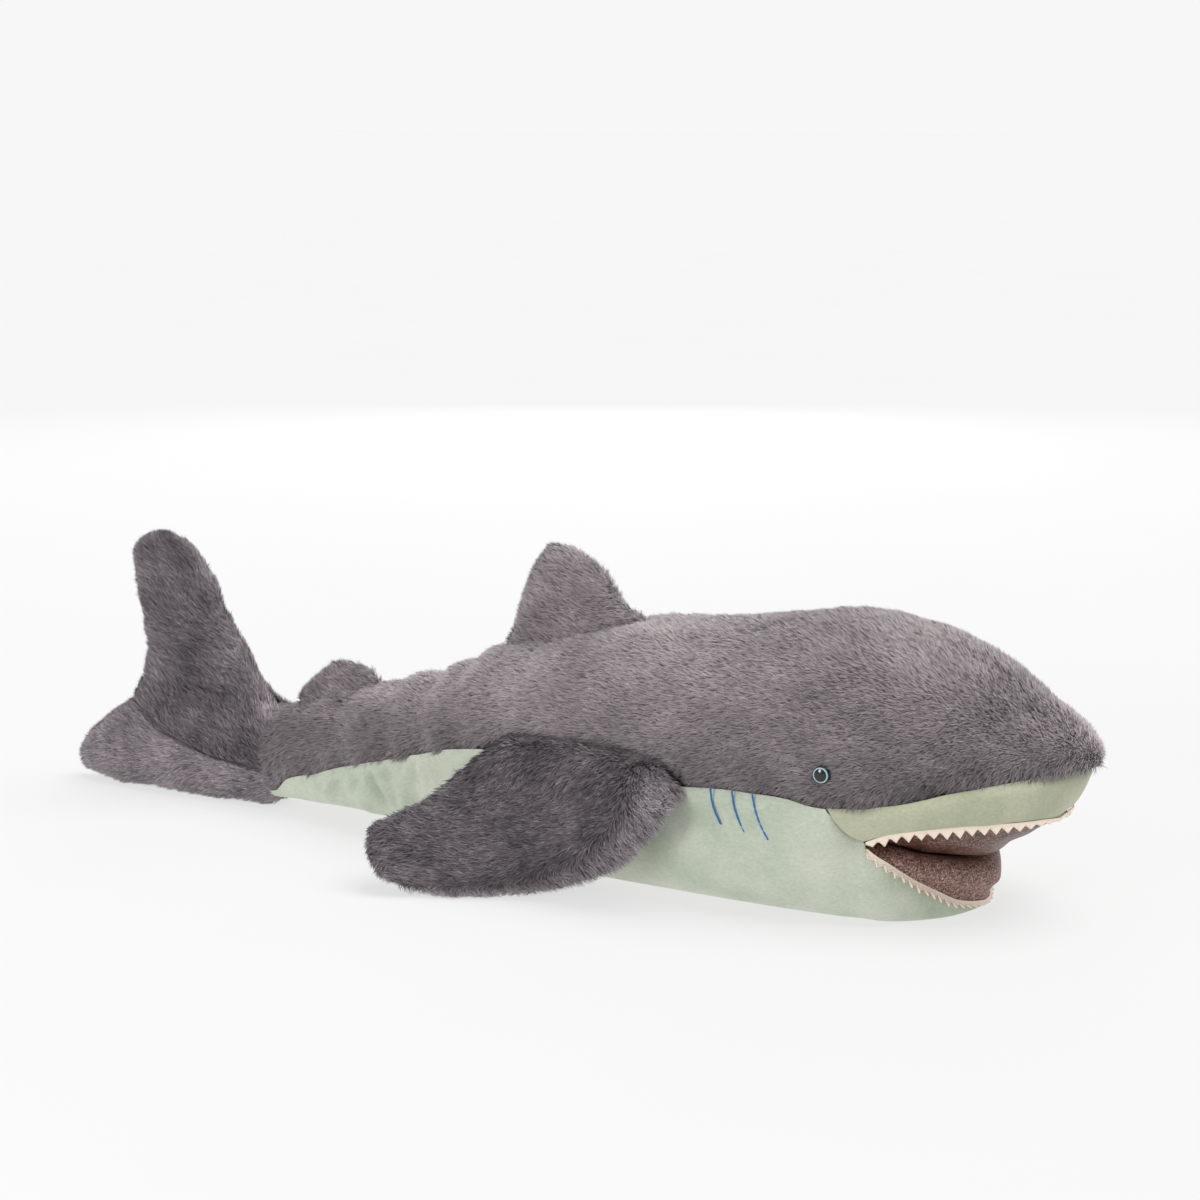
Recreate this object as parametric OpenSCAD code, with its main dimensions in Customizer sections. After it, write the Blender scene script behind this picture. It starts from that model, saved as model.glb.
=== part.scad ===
// Soft toy shark, lying on its belly with its mouth hanging open.
// Every sewn panel is a closed shell with the thickness of its cloth and pile,
// and each stuffed region is a separate solid inside its panels.
// +X runs to the snout, +Y to the shark's left, Z = 0 is the surface it lies on.

/* [Body] */
// Width across the widest part of the body
body_width = 190; // [170:1:215]
// Height of the top of the head above the surface it lies on
body_height = 176; // [160:1:190]

/* [Cloth] */
// Thickness of the long pile fur with its backing
fur_t = 6; // [4:0.5:7]
// Thickness of the short pile velour
velour_t = 2; // [1.5:0.25:3]
// Thickness of the glitter lining of the mouth
lining_t = 2; // [1.5:0.25:3]

/* [Mouth] */
// Distance between two felt teeth
tooth_pitch = 8; // [7:0.5:10]
// Length of a felt tooth
tooth_len = 4.5; // [3:0.5:6]
// Bulge of the padded tongue above the lower lip
tongue_bulge = 13; // [4:1:14]
// Bulge of the padded palate below the upper lip
palate_bulge = 10; // [3:1:11]

/* [Eyes] */
// Diameter of the glossy eye
eye_d = 10.5; // [9:0.5:12]
// Diameter of the lock washer behind the eye
washer_d = 18; // [15:1:22]

/* [Fins] */
// Half thickness of the pectoral fins at their fullest
pectoral_h = 13; // [10:0.5:13.5]
// Half thickness of the dorsal fin at its fullest
dorsal_h = 11; // [9:0.5:12]

/* [Hidden] */

fur_grey = [0.50, 0.47, 0.48];
fur_dark = [0.36, 0.34, 0.35];
velour_green = [0.70, 0.74, 0.66];
lining_brown = [0.42, 0.32, 0.29];
felt_cream = [0.98, 0.93, 0.88];
thread_blue = [0.05, 0.35, 0.68];
fill_white = [0.93, 0.93, 0.91];
eye_black = [0.03, 0.03, 0.04];
washer_white = [0.88, 0.88, 0.86];

kw = body_width / 190;
kh = body_height / 176;
tail_x = -105;     // vertical axis on which the tail bends
caudal_x = -198;   // vertical axis on which the tail fin bends
jaw_x = 258;       // crease of the mouth corners
half_slit = 0.4;   // half the slit left between two bodies that move

// Cross sections of the body: [x, top, half width, height of the widest point,
// half width of the flat underside, underside, height of the fur seam]
TAIL = [
  [-197, 71, 25, 38, 8, 8, 27], [-180, 76, 29, 40, 9, 9, 28],
  [-160, 82, 34, 43, 10, 9, 32], [-140, 89, 39, 46, 12, 10, 40],
  [-118, 96, 44, 49, 14, 9.5, 47], [-107, 100, 46.5, 51, 15, 9, 50]];
TORSO = [
  [-103, 101.5, 47.5, 52, 16, 9, 51.5], [-83, 108, 52, 54, 18, 8, 57],
  [-52, 117, 60, 58, 22, 5, 67], [-26, 128, 68, 62, 27, 2, 74],
  [0, 136, 75, 65, 32, 0, 78], [30, 144, 82, 68, 38, 0, 79],
  [80, 157, 90, 72, 44, 0, 77], [118, 162, 93.5, 74, 47, 0, 74.5],
  [148, 167, 95, 75, 50, 0, 73], [180, 172, 95.5, 75, 52, 0, 74],
  [211, 176, 95, 75, 53, 0, 75], [234, 176.5, 93, 76, 53, 0, 74],
  [258, 174, 88, 76, 51, 0, 75]];
// In front of the mouth corners the underside is the upper lip
HEAD = [
  [258, 174, 88, 76, 82, 54, 75], [268, 172, 85.5, 78, 80.5, 58.5, 77],
  [279, 169, 82.5, 80, 78, 62, 79], [292, 164.5, 77.5, 82, 73, 64, 82],
  [305, 158.5, 70.5, 84, 66, 65, 85.5], [318, 151.5, 62.5, 86, 57.5, 66, 88],
  [329, 144.5, 54, 87, 48, 66, 90], [346, 131, 40, 90, 31, 66, 92.5],
  [356, 122.5, 31.5, 92, 14, 64.5, 93.5], [362, 117, 25, 93, 2, 68, 94],
  [368, 111, 17, 94, 1.4, 80, 94.5], [373, 104, 9, 95, 1, 89, 95],
  [375, 98.5, 3.5, 95, 0.6, 92, 95]];
// Lower jaw: [x, half width at the lip, lip height, half width of the flat underside, underside]
JAW = [
  [258.8, 82, 50.6, 51, 0], [264, 81.5, 47, 50, 0], [271, 80, 40, 48.5, 0],
  [284, 74, 30, 45, 0], [296, 62, 21, 38, 0], [305, 45, 14, 28, 1],
  [312, 22, 8.5, 14, 2.5], [315, 8, 7, 5, 3.5]];
// Pectoral fin on its root axis: [front along, front out, rear along, rear out, fullness]
PECTORAL = [
  [156, -8, 8, -8, 0.2], [162, -5, 3, -5, 0.46], [166, 0, 0, 0, 0.65], [163, 14, -6, 10, 0.84],
  [152, 33, -14, 22, 0.95], [131, 53, -23, 33, 1], [104, 62, -31, 44, 0.93], [72, 64, -37, 54, 0.8],
  [38, 69, -38, 64, 0.62], [10, 76, -32, 72, 0.42], [-8, 79, -24, 77, 0.2]];
pectoral_rear = [-14, -87.5, 64];
pectoral_front = [150, -114.5, 74];
// Upright fins: [height, rear, front, fullness]
DORSAL = [[2.4, 6, 104, 0.25], [4.6, 4, 105, 0.52], [10, 9, 99, 0.76], [20, 17, 93, 0.95],
  [30, 24.5, 88.5, 1], [40, 29.5, 82, 0.9], [47, 33, 76.5, 0.76], [52, 39, 69, 0.54],
  [55, 47, 62, 0.27]];
REAR_DORSAL = [[1.3, 5, 69, 0.27], [2.7, 4, 70, 0.62], [5.5, 7, 66, 0.85], [9, 12, 61, 1],
  [12.5, 19, 56, 0.94], [16, 27, 52, 0.75], [18.8, 36, 48, 0.36]];
// Tail fin rows from the underside to the tip:
// [front x, front z, rear x, rear z, half width at the front, half thickness, sweep of the row]
CAUDAL = [
  [-208, 0, -350, 0, 8, 12, 1], [-200, 6, -371, 6, 12, 17, 1],
  [-198, 15, -375, 18, 17, 20, 1], [-198, 21, -367, 33, 20, 21, 1.5],
  [-198, 24, -349, 48, 21, 21, 2], [-198, 27, -327, 63, 22, 21, 2.2],
  [-198, 44, -321, 76, 24.5, 19.5, 1.5], [-198, 59, -316, 90, 19, 18, 1.2],
  [-204, 73, -314, 104, 5, 16.5, 1], [-214, 86, -315, 118, 0, 15.5, 1],
  [-226, 104, -318, 134, 0, 15, 1], [-240, 130, -322, 152, 0, 14, 1],
  [-252, 153, -322, 166, 0, 12, 1], [-262, 169, -317, 175, 0, 9.5, 1],
  [-273, 179, -306, 181, 0, 6, 1], [-284, 183, -297, 183.5, 0, 3, 1]];
CAUDAL_SEAM = 5;

// ---- grids and closed solids -------------------------------------------------
function flat(l) = [for (a = l) for (b = a) b];
function quad(a, b, c, d) = [[a, b, c], [a, c, d]];
function other_quad(a, b, c, d) = [[a, b, d], [b, c, d]];
// Which way a cell of a grid is split: half-and-half panels are split as mirror images,
// so that the cloth meets the filling face to face on both sides
function flips(split, c, m) = split == "reversed" || (split == "mirrored" && c >= (m-1)/2)
  || (split == "from_middle" && c < (m-1)/2);
// A panel is the outer grid of the cloth and its inner grid, closed along all four edges
module panel(o, i, split = "plain") {
  n = len(o); m = len(o[0]); h = n * m;
  function q(a, b, c, d, col) = flips(split, col, m) ? other_quad(a, b, c, d) : quad(a, b, c, d);
  polyhedron(points = concat(flat(o), flat(i)), faces = concat(
    flat([for (r = [0:n-2]) for (c = [0:m-2])
      q(r*m+c, (r+1)*m+c, (r+1)*m+c+1, r*m+c+1, c)]),
    flat([for (r = [0:n-2]) for (c = [0:m-2])
      [for (f = q(h+r*m+c, h+(r+1)*m+c, h+(r+1)*m+c+1, h+r*m+c+1, c)) [f[2], f[1], f[0]]]]),
    flat([for (c = [0:m-2]) concat(quad(c, c+1, h+c+1, h+c),
      other_quad((n-1)*m+c+1, (n-1)*m+c, h+(n-1)*m+c, h+(n-1)*m+c+1))]),
    flat([for (r = [0:n-2]) concat(quad((r+1)*m, r*m, h+r*m, h+(r+1)*m),
      other_quad(r*m+m-1, (r+1)*m+m-1, h+(r+1)*m+m-1, h+r*m+m-1))])));
}
// A bag is closed from its right half, whose first and last columns lie on the middle plane
module bag(g) {
  n = len(g); m = len(g[0]); s = n * m;
  function l(r, c) = c == 0 || c == m-1 ? r*m+c : s+r*(m-2)+c-1;
  polyhedron(points = concat(flat(g),
      [for (r = [0:n-1]) for (c = [1:m-2]) [g[r][c][0], -g[r][c][1], g[r][c][2]]]),
    faces = concat(
      flat([for (r = [0:n-2]) for (c = [0:m-2]) concat(
        quad(r*m+c, (r+1)*m+c, (r+1)*m+c+1, r*m+c+1),
        [[l(r,c), l(r+1,c+1), l(r+1,c)], [l(r,c), l(r,c+1), l(r+1,c+1)]])]),
      flat([for (c = [0:m-2]) c == 0 ? [[0, 1, l(0,1)]]
        : c == m-2 ? [[c, m-1, l(0,c)]] : quad(c, c+1, l(0,c+1), l(0,c))]),
      flat([for (c = [0:m-2], e = [(n-1)*m]) c == 0 ? [[e, l(n-1,1), e+1]]
        : c == m-2 ? [[e+c, l(n-1,c), e+m-1]]
        : [[e+c+1, e+c, l(n-1,c)], [e+c+1, l(n-1,c), l(n-1,c+1)]]])));
}
// A pad is closed from two sheets that share their four edges
module pad(t, u) {
  n = len(t); m = len(t[0]); h = n * m;
  function v(r, c) = r == -1 || c == 0 || c == m-1 ? r*m+c : h+r*m+c;
  polyhedron(points = concat(flat(t), flat(u)), faces = concat(
    flat([for (r = [0:n-2]) for (c = [0:m-2])
      quad(r*m+c, (r+1)*m+c, (r+1)*m+c+1, r*m+c+1)]),
    flat([for (r = [0:n-2]) for (c = [0:m-2]) c == 0
      ? [[v(r,0), v(r+1,1), v(r+1,0)], [v(r,0), v(r,1), v(r+1,1)]]
      : [[v(r,c), v(r+1,c+1), v(r+1,c)], [v(r,c), v(r,c+1), v(r+1,c+1)]]]),
    flat([for (c = [0:m-2]) c == 0 ? [[0, 1, v(0,1)]] : c == m-2 ? [[c, m-1, v(0,c)]]
      : quad(c, c+1, v(0,c+1), v(0,c))]),
    flat([for (c = [0:m-2], e = [(n-1)*m]) c == 0 ? [[e, v(n-1,1), e+1]]
      : c == m-2 ? [[e+c, v(n-1,c), e+m-1]]
      : [[e+c+1, e+c, v(n-1,c)], [e+c+1, v(n-1,c), v(n-1,c+1)]]])));
}
function mirrored(g) = [for (r = g) concat(r,
  [for (c = [len(r)-1:-1:0]) if (abs(r[c][1]) > 0.001) [r[c][0], -r[c][1], r[c][2]]])];

// ---- body cross sections ------------------------------------------------------
top_power = 2.2;
low_power = 2.4;
// Angle at which the section reaches the fur seam
function seam_angle(s) = s[6] >= s[3]
  ? asin(pow((s[6]-s[3]) / (s[1]-s[3]), top_power/2))
  : -asin(pow((s[3]-s[6]) / (s[3]-s[5]), low_power/2));
// Point of a section at an angle, d below the surface; the ends of tail and torso are
// cut back towards their sides so that the bends have room
function at(s, a, d) =
  let (w = s[2] - d, y = a >= 0 ? w * pow(cos(a), 2/top_power)
      : s[4] * max(0, 1 - d/s[2]) + (w - s[4] * max(0, 1 - d/s[2])) * pow(cos(a), 2/low_power),
    z = a >= 0 ? s[3] + (s[1]-d-s[3]) * pow(sin(a), 2/top_power)
      : s[3] - (s[3]-s[5]-d) * pow(-sin(a), 2/low_power),
    yy = kw * max(0, y))
  [end_cut(s[0], yy), -yy, kh * z];
function end_cut(x, y) = x == -103 ? tail_x + half_slit + 0.0963 * y
  : x == -107 ? tail_x - half_slit - 0.0963 * y
  : x == -197 ? caudal_x + half_slit + 0.167 * y : x;
fur_cols = 8;
low_cols = 7;
function fur_row(s, d) = [for (c = [0:fur_cols]) at(s, 90 + (seam_angle(s)-90) * c/fur_cols, d)];
function low_row(s, d) = [for (c = [0:low_cols]) at(s, seam_angle(s) + (-90-seam_angle(s)) * c/low_cols, d)];
function mid(p) = [p[0], 0, p[2]];
// Half section of the belly cloth, from the seam to the middle of the underside
function belly_row(s, d) = let (r = low_row(s, d)) concat(r,
  [[end_cut(s[0], 0), 0, r[low_cols][2] - min(0.3, d)]]);
// Half section of the filling: behind the fur, a step at the seam, behind the velour
function fill_row(s) = let (f = fur_row(s, fur_t), b = belly_row(s, velour_t)) concat(f, b);
// Palate and tongue rise and fall across the mouth
across = 6;
function bow(i, n) = max(0.12, sin(180 * pow(i/n, 1.1)));
function palate_row(i, d) = let (s = HEAD[i], w = kw * s[4] * max(0, 1 - d/s[2]),
    b = palate_bulge * bow(min(i, 9), 9)) [for (c = [0:across]) let (y = w * (1 - c/across))
    [s[0], -y, kh * (s[5] + d) - b * (1 - pow(1 - c/across, 2))]];
function head_fill_row(i) = let (s = HEAD[i], f = fur_row(s, fur_t),
    l = low_row(s, velour_t), p = palate_row(i, lining_t))
    concat(f, [for (c = [0:low_cols-1]) l[c]], p);
function jaw_wall(s, d) = [for (c = [0:6]) let (a = 90 * c/6, y = s[3] - d + (s[1]-s[3]) * pow(cos(a), 0.75),
    z = s[2] - d - (s[2]-2*d-s[4]) * pow(sin(a), 0.85)) [s[0], -kw * max(0.5, y), kh * z]];
function jaw_row(s, d) = let (r = jaw_wall(s, d)) concat(r, [mid(r[6]) - [0, 0, min(0.3, d)]]);
function tongue_row(i, d) = let (s = JAW[i], w = jaw_wall(s, d)[0][1],
    b = tongue_bulge * bow(i, 7)) [for (c = [0:across])
    [s[0], w * c/across, kh * (s[2] - d) + b * (1 - pow(c/across, 2))]];
function jaw_fill_row(i) = let (t = tongue_row(i, lining_t), r = jaw_row(JAW[i], velour_t))
    concat(t, [for (c = [1:7]) r[c]]);
// Half width of the body's side at a point, for what is sewn onto it
function station(x, i = 0) = x <= TORSO[i+1][0] || i == len(TORSO)-2 ? i : station(x, i+1);
function side_y(x, z) = let (i = station(x), a = TORSO[i], b = TORSO[i+1],
    s = a + (b - a) * (x - a[0]) / (b[0] - a[0]), zz = z / kh)
    kw * (zz >= s[3] ? s[2] * pow(1 - pow((zz-s[3]) / (s[1]-s[3]), top_power), 1/top_power)
      : s[4] + (s[2]-s[4]) * pow(1 - pow((s[3]-zz) / (s[3]-s[5]), low_power), 1/low_power));

// ---- fins -----------------------------------------------------------------------
fin_cols = 10;
function arch(c) = pow(1 - pow(abs(2*c/fin_cols - 1), 2.6), 0.5);
pec_dir = (pectoral_front - pectoral_rear) / norm(pectoral_front - pectoral_rear);
// The fin hangs steeply at the front and spreads outwards to the rear
function pec_fall(u) = max(8, 45 - 0.45*u);
function pec_point(u, v, h) = let (a = pec_fall(u))
  pectoral_rear + pec_dir * u + v * [0, -sin(a), -cos(a)] + h * [0, -cos(a), sin(a)];
function pec_sheet(side, d) = [for (r = PECTORAL) [for (c = [0:fin_cols]) let (
    k = d/10, q = c/fin_cols, f = [r[0]-10*k, r[1]], b = [r[2]+10*k, r[3]],
    v0 = f[1] + (b[1]-f[1])*q, v = v0 + (v0 < 36 ? 1 : -1) * k * 3 * min(1, abs(v0-36)/30))
    pec_point(f[0] + (b[0]-f[0])*q, v,
      side * pectoral_h * r[4] * arch(c) * (1 - 0.45*k*(1 + 0.5*(1-r[4]))))]];
function fin_sheet(rows, hmax, d, v_mid) = [for (r = rows) [for (c = [0:fin_cols]) let (
    q = 1 - c/fin_cols, f = r[2] - d, b = r[1] + d, v = v_mid + (r[0]-v_mid) * (1 - d/v_mid/2.2))
    [f + (b-f)*q, -max(0, hmax * r[3] * arch(c) * (1 - 0.1*d)), v]]];
function laid(g, base, slope) = [for (r = g) [for (p = r) let (s = sin(slope), c = cos(slope))
    [base[0] + p[0]*c - p[2]*s, p[1], kh*base[2] + p[0]*s + p[2]*c]]];
dorsal_base = [-26, 0, 128];
dorsal_slope = 15.2;
rear_base = [-192, 0, 73];
rear_slope = 17.3;
module dorsal_half() panel(laid(fin_sheet(DORSAL, dorsal_h, 0, 27), dorsal_base, dorsal_slope),
  laid(fin_sheet(DORSAL, dorsal_h, 4.5, 27), dorsal_base, dorsal_slope));
module rear_half() panel(laid(fin_sheet(REAR_DORSAL, 5.6, 0, 10), rear_base, rear_slope),
  laid(fin_sheet(REAR_DORSAL, 5.6, 3, 10), rear_base, rear_slope));
caudal_cols = 10;
function caudal_sheet(d, from, to) = [for (i = [from:to]) let (r = CAUDAL[i],
    free = r[4] < 6, xf = r[0] - (free ? d : 0), xb = r[2] + d, y0 = max(0.01, r[4] - (r[4] > 0 ? d : 0)),
    zc = 92, t = max(1, r[5] - 0.85*d)) [for (c = [caudal_cols:-1:0]) let (q = pow(c/caudal_cols, 1.15),
    s = min(1.3, y0/t), y = c == caudal_cols ? 0 : (c == 0 && r[4] == 0) ? min(d, 1.5)
      : t * pow(1 - pow(q, 3.2), 0.45) * (s + (1-s) * pow(1 - pow(1-q, 4), 0.5)),
    z = r[1] + (r[3]-r[1]) * pow(q, r[6]), x = xf + (xb-xf)*q)
    [free ? x : min(x, caudal_x - half_slit - 0.167*y), -y, zc + (z-zc) * (1 - d/zc)]]];

// ---- lips and felt teeth ----------------------------------------------------------
upper_lip = [for (s = HEAD) if (s[0] < 361) [s[0], -kw*s[4], kh*s[5]]];
lower_lip = [for (s = JAW) [s[0], -kw*s[1], kh*s[2]]];
function closed_lip(l) = concat(l, [for (i = [len(l)-1:-1:0]) [l[i][0], -l[i][1], l[i][2]]]);
function run(l, i = 0, d = 0) = i == len(l)-1 ? [d] : concat([d], run(l, i+1, d + norm(l[i+1]-l[i])));
function along(l, r, s, i = 0) = s <= r[i+1] || i == len(l)-2
  ? l[i] + (l[i+1]-l[i]) * (s-r[i])/(r[i+1]-r[i]) : along(l, r, s, i+1);
function plan_out(l, r, s) = let (t = along(l, r, s+1) - along(l, r, s-1), n = [-t[1], t[0], 0]) -n/norm(n);
// Zigzag band: rise is the height of its straight edge, gap its distance outside the lip
module teeth(lip, rise, gap, start, grow) {
  l = closed_lip(lip); r = run(l); total = r[len(r)-1] - 2*start;
  n = 2 * round(total / tooth_pitch);
  side = [for (e = [0, 1]) [for (i = [0:n]) let (s = start + total*i/n,
      p = along(l, r, s) + plan_out(l, r, s) * (gap + (e == 0 ? 0.9 : 0)),
      size = min(1, min(s, r[len(r)-1]-s) / grow), cut = (i % 2 == 1) ? tooth_len : 0.8)
      [p + [0, 0, rise], p + [0, 0, rise - (cut + 1) * size - 0.3]]]];
  panel(side[0], side[1]);
}
module rod(p, q, r) translate(p) rotate([0, acos((q-p)[2]/norm(q-p)), atan2((q-p)[1], (q-p)[0])])
  cylinder(r = r, h = norm(q-p), $fn = 20);

// ---- sub-parts ----------------------------------------------------------------------
FUR = concat(TORSO, [for (i = [1:len(HEAD)-1]) HEAD[i]]);
module back_fur_right() color(fur_grey)
  panel([for (s = FUR) fur_row(s, 0)], [for (s = FUR) fur_row(s, fur_t * (s[0] > 372 ? 0.3 : 1))]);
module back_fur_left() mirror([0, 1, 0]) back_fur_right();
module belly_panel() color(velour_green)
  panel(mirrored([for (s = TORSO) belly_row(s, 0)]),
        mirrored([for (s = TORSO) belly_row(s, velour_t)]), "mirrored");
module torso_stuffing() color(fill_white) bag([for (s = TORSO) fill_row(s)]);
module head_stuffing() color(fill_white) bag([for (i = [0:8]) head_fill_row(i)]);
module lip_half() panel([for (s = HEAD) low_row(s, 0)],
  [for (s = HEAD) low_row(s, velour_t * (s[0] > 372 ? 0.3 : 1))]);
module upper_lip_panel() color(velour_green) { lip_half(); mirror([0, 1, 0]) lip_half(); }
module palate_lining() color(lining_brown) {
  g = [for (i = [0:9]) palate_row(i, 0)];
  h = [for (i = [0:9]) palate_row(i, lining_t)];
  panel(mirrored(g), mirrored(h), "mirrored");
}
module upper_teeth_trim() color(felt_cream) teeth(upper_lip, -0.6, -2.2, 10, 26);
eye_at = [234, -86.8, 94];
module eye_right() color(eye_black) translate(eye_at) {
  sphere(d = eye_d, $fn = 48);
  rotate([-90, 0, 0]) cylinder(d = 4, h = 15, $fn = 32);
}
module eye_left() mirror([0, 1, 0]) eye_right();
module eye_washer_right() color(washer_white) translate(eye_at + [0, 1.6, 0]) rotate([-90, 0, 0])
  difference() {
    cylinder(d = washer_d, h = 1.6, $fn = 48);
    translate([0, 0, -1]) cylinder(d = 4.1, h = 4, $fn = 32);
  }
module eye_washer_left() mirror([0, 1, 0]) eye_washer_right();
// Three slightly curved lines of thick thread on each cheek: [top x, top z, bottom x, bottom z]
GILLS = [[168, 73, 174, 57], [182, 73, 189, 55], [195, 73, 203, 52]];
function gill(g, t) = let (x = g[0] + (g[2]-g[0])*t - 1.6*sin(180*t), z = g[1] + (g[3]-g[1])*t)
  [x, -side_y(x, z) - 0.2, z];
module gill_stitches_right() color(thread_blue) for (g = GILLS) for (i = [0:4])
  rod(gill(g, i/5), gill(g, i/5 + 0.18), 0.5);
module gill_stitches_left() mirror([0, 1, 0]) gill_stitches_right();
module chin_panel() color(velour_green)
  panel(mirrored([for (s = JAW) jaw_row(s, 0)]),
    mirrored([for (s = JAW) jaw_row(s, velour_t * (s[0] > 314 ? 0.5 : 1))]), "mirrored");
module tongue_lining() color(lining_brown) {
  g = [for (i = [0:6]) tongue_row(i, 0)];
  h = [for (i = [0:6]) tongue_row(i, lining_t)];
  panel([for (r = g) concat([for (c = [across:-1:1]) [r[c][0], -r[c][1], r[c][2]]], r)],
    [for (r = h) concat([for (c = [across:-1:1]) [r[c][0], -r[c][1], r[c][2]]], r)], "from_middle");
}
module lower_teeth_trim() color(felt_cream) teeth(lower_lip, 1.5, 0.4, 12, 26);
module jaw_stuffing() color(fill_white) bag([for (i = [0:6]) jaw_fill_row(i)]);
pec_fill = 4.5;
module pectoral_right_top_fur() color(fur_dark) panel(pec_sheet(1, 0), pec_sheet(1, pec_fill));
module pectoral_right_under_fur() color(fur_dark)
  panel([for (r = pec_sheet(-1, 0)) [for (c = [fin_cols:-1:0]) r[c]]],
    [for (r = pec_sheet(-1, pec_fill)) [for (c = [fin_cols:-1:0]) r[c]]], "reversed");
module pectoral_right_stuffing() color(fill_white) pad(pec_sheet(1, pec_fill), pec_sheet(-1, pec_fill));
module pectoral_left_top_fur() mirror([0, 1, 0]) pectoral_right_top_fur();
module pectoral_left_under_fur() mirror([0, 1, 0]) pectoral_right_under_fur();
module pectoral_left_stuffing() mirror([0, 1, 0]) pectoral_right_stuffing();
module dorsal_fur_right() color(fur_grey) dorsal_half();
module dorsal_fur_left() color(fur_grey) mirror([0, 1, 0]) dorsal_half();
module dorsal_stuffing() color(fill_white)
  bag(laid(fin_sheet(DORSAL, dorsal_h, 4.5, 27), dorsal_base, dorsal_slope));
module rear_dorsal_fur_right() color(fur_grey) rear_half();
module rear_dorsal_fur_left() color(fur_grey) mirror([0, 1, 0]) rear_half();
module rear_dorsal_stuffing() color(fill_white)
  bag(laid(fin_sheet(REAR_DORSAL, 5.6, 3, 10), rear_base, rear_slope));
module tail_fur_right() color(fur_grey)
  panel([for (s = TAIL) fur_row(s, 0)], [for (s = TAIL) fur_row(s, fur_t)]);
module tail_fur_left() mirror([0, 1, 0]) tail_fur_right();
module tail_belly_panel() color(velour_green)
  panel(mirrored([for (s = TAIL) belly_row(s, 0)]),
        mirrored([for (s = TAIL) belly_row(s, velour_t)]), "mirrored");
module tail_stuffing() color(fill_white) bag([for (s = TAIL) fill_row(s)]);
module caudal_half(from, to) panel(caudal_sheet(0, from, to), caudal_sheet(fur_t, from, to));
module caudal_upper_fur_right() color(fur_dark) caudal_half(CAUDAL_SEAM, len(CAUDAL)-1);
module caudal_upper_fur_left() mirror([0, 1, 0]) caudal_upper_fur_right();
module caudal_lower_fur_right() color(fur_dark) caudal_half(0, CAUDAL_SEAM);
module caudal_lower_fur_left() mirror([0, 1, 0]) caudal_lower_fur_right();
module caudal_stuffing() color(fill_white) bag([for (r = caudal_sheet(fur_t, 0, len(CAUDAL)-1))
  concat(r, [mid(r[caudal_cols]) + [0.8, 0, 0]])]);

back_fur_right();
back_fur_left();
belly_panel();
torso_stuffing();
head_stuffing();
upper_lip_panel();
palate_lining();
upper_teeth_trim();
eye_right();
eye_left();
eye_washer_right();
eye_washer_left();
gill_stitches_right();
gill_stitches_left();
chin_panel();
tongue_lining();
lower_teeth_trim();
jaw_stuffing();
pectoral_right_top_fur();
pectoral_right_under_fur();
pectoral_right_stuffing();
pectoral_left_top_fur();
pectoral_left_under_fur();
pectoral_left_stuffing();
dorsal_fur_right();
dorsal_fur_left();
dorsal_stuffing();
rear_dorsal_fur_right();
rear_dorsal_fur_left();
rear_dorsal_stuffing();
tail_fur_right();
tail_fur_left();
tail_belly_panel();
tail_stuffing();
caudal_upper_fur_right();
caudal_upper_fur_left();
caudal_lower_fur_right();
caudal_lower_fur_left();
caudal_stuffing();
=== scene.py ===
import bpy
import math
import numpy as np
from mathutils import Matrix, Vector


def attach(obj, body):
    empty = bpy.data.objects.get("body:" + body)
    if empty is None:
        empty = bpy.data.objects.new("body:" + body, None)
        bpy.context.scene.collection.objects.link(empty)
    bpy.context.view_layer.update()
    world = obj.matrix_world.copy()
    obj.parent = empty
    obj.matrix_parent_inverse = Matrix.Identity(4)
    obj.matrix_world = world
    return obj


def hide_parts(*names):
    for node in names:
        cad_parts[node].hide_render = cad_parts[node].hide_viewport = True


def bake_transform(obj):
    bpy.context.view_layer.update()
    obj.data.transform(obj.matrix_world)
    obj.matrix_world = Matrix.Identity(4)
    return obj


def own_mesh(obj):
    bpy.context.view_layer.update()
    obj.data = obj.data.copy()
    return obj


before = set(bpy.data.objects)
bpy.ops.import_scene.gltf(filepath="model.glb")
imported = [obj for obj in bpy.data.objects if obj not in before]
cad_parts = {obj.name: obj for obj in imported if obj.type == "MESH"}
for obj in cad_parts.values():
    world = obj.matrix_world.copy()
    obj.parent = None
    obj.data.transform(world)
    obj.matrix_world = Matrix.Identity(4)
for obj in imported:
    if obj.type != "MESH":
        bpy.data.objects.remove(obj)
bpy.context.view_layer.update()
scene = bpy.context.scene
MM = 0.001

# ---- camera
cam = bpy.data.objects.new("camera", bpy.data.cameras.new("camera"))
scene.collection.objects.link(cam)
cam.data.lens = 78
cam.data.sensor_width = 36
cam.location = (0.784, -1.452, 0.482)
cam.rotation_euler = Vector((-0.4457, 0.8746, -0.1908)).to_track_quat("-Z", "Y").to_euler()
scene.camera = cam

# ---- stations of the part, in mm
# x, top, half width, height of the widest line, half width of the flat, underside, fur seam
TAIL = [[-197, 71, 25, 38, 8, 8, 27], [-180, 76, 29, 40, 9, 9, 28], [-160, 82, 34, 43, 10, 9, 32],
        [-140, 89, 39, 46, 12, 10, 40], [-118, 96, 44, 49, 14, 9.5, 47]]
TORSO = [[-103, 101.5, 47.5, 52, 16, 9, 51.5], [-83, 108, 52, 54, 18, 8, 57], [-52, 117, 60, 58, 22, 5, 67],
         [-26, 128, 68, 62, 27, 2, 74], [0, 136, 75, 65, 32, 0, 78], [30, 144, 82, 68, 38, 0, 79],
         [80, 157, 90, 72, 44, 0, 77], [118, 162, 93.5, 74, 47, 0, 75.5], [148, 167, 95, 75, 50, 0, 77],
         [180, 172, 95.5, 75, 52, 0, 78.5], [211, 176, 95, 75, 53, 0, 78], [234, 176.5, 93, 76, 53, 0, 74.6],
         [258, 174, 88, 76, 51, 0, 75]]
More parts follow.
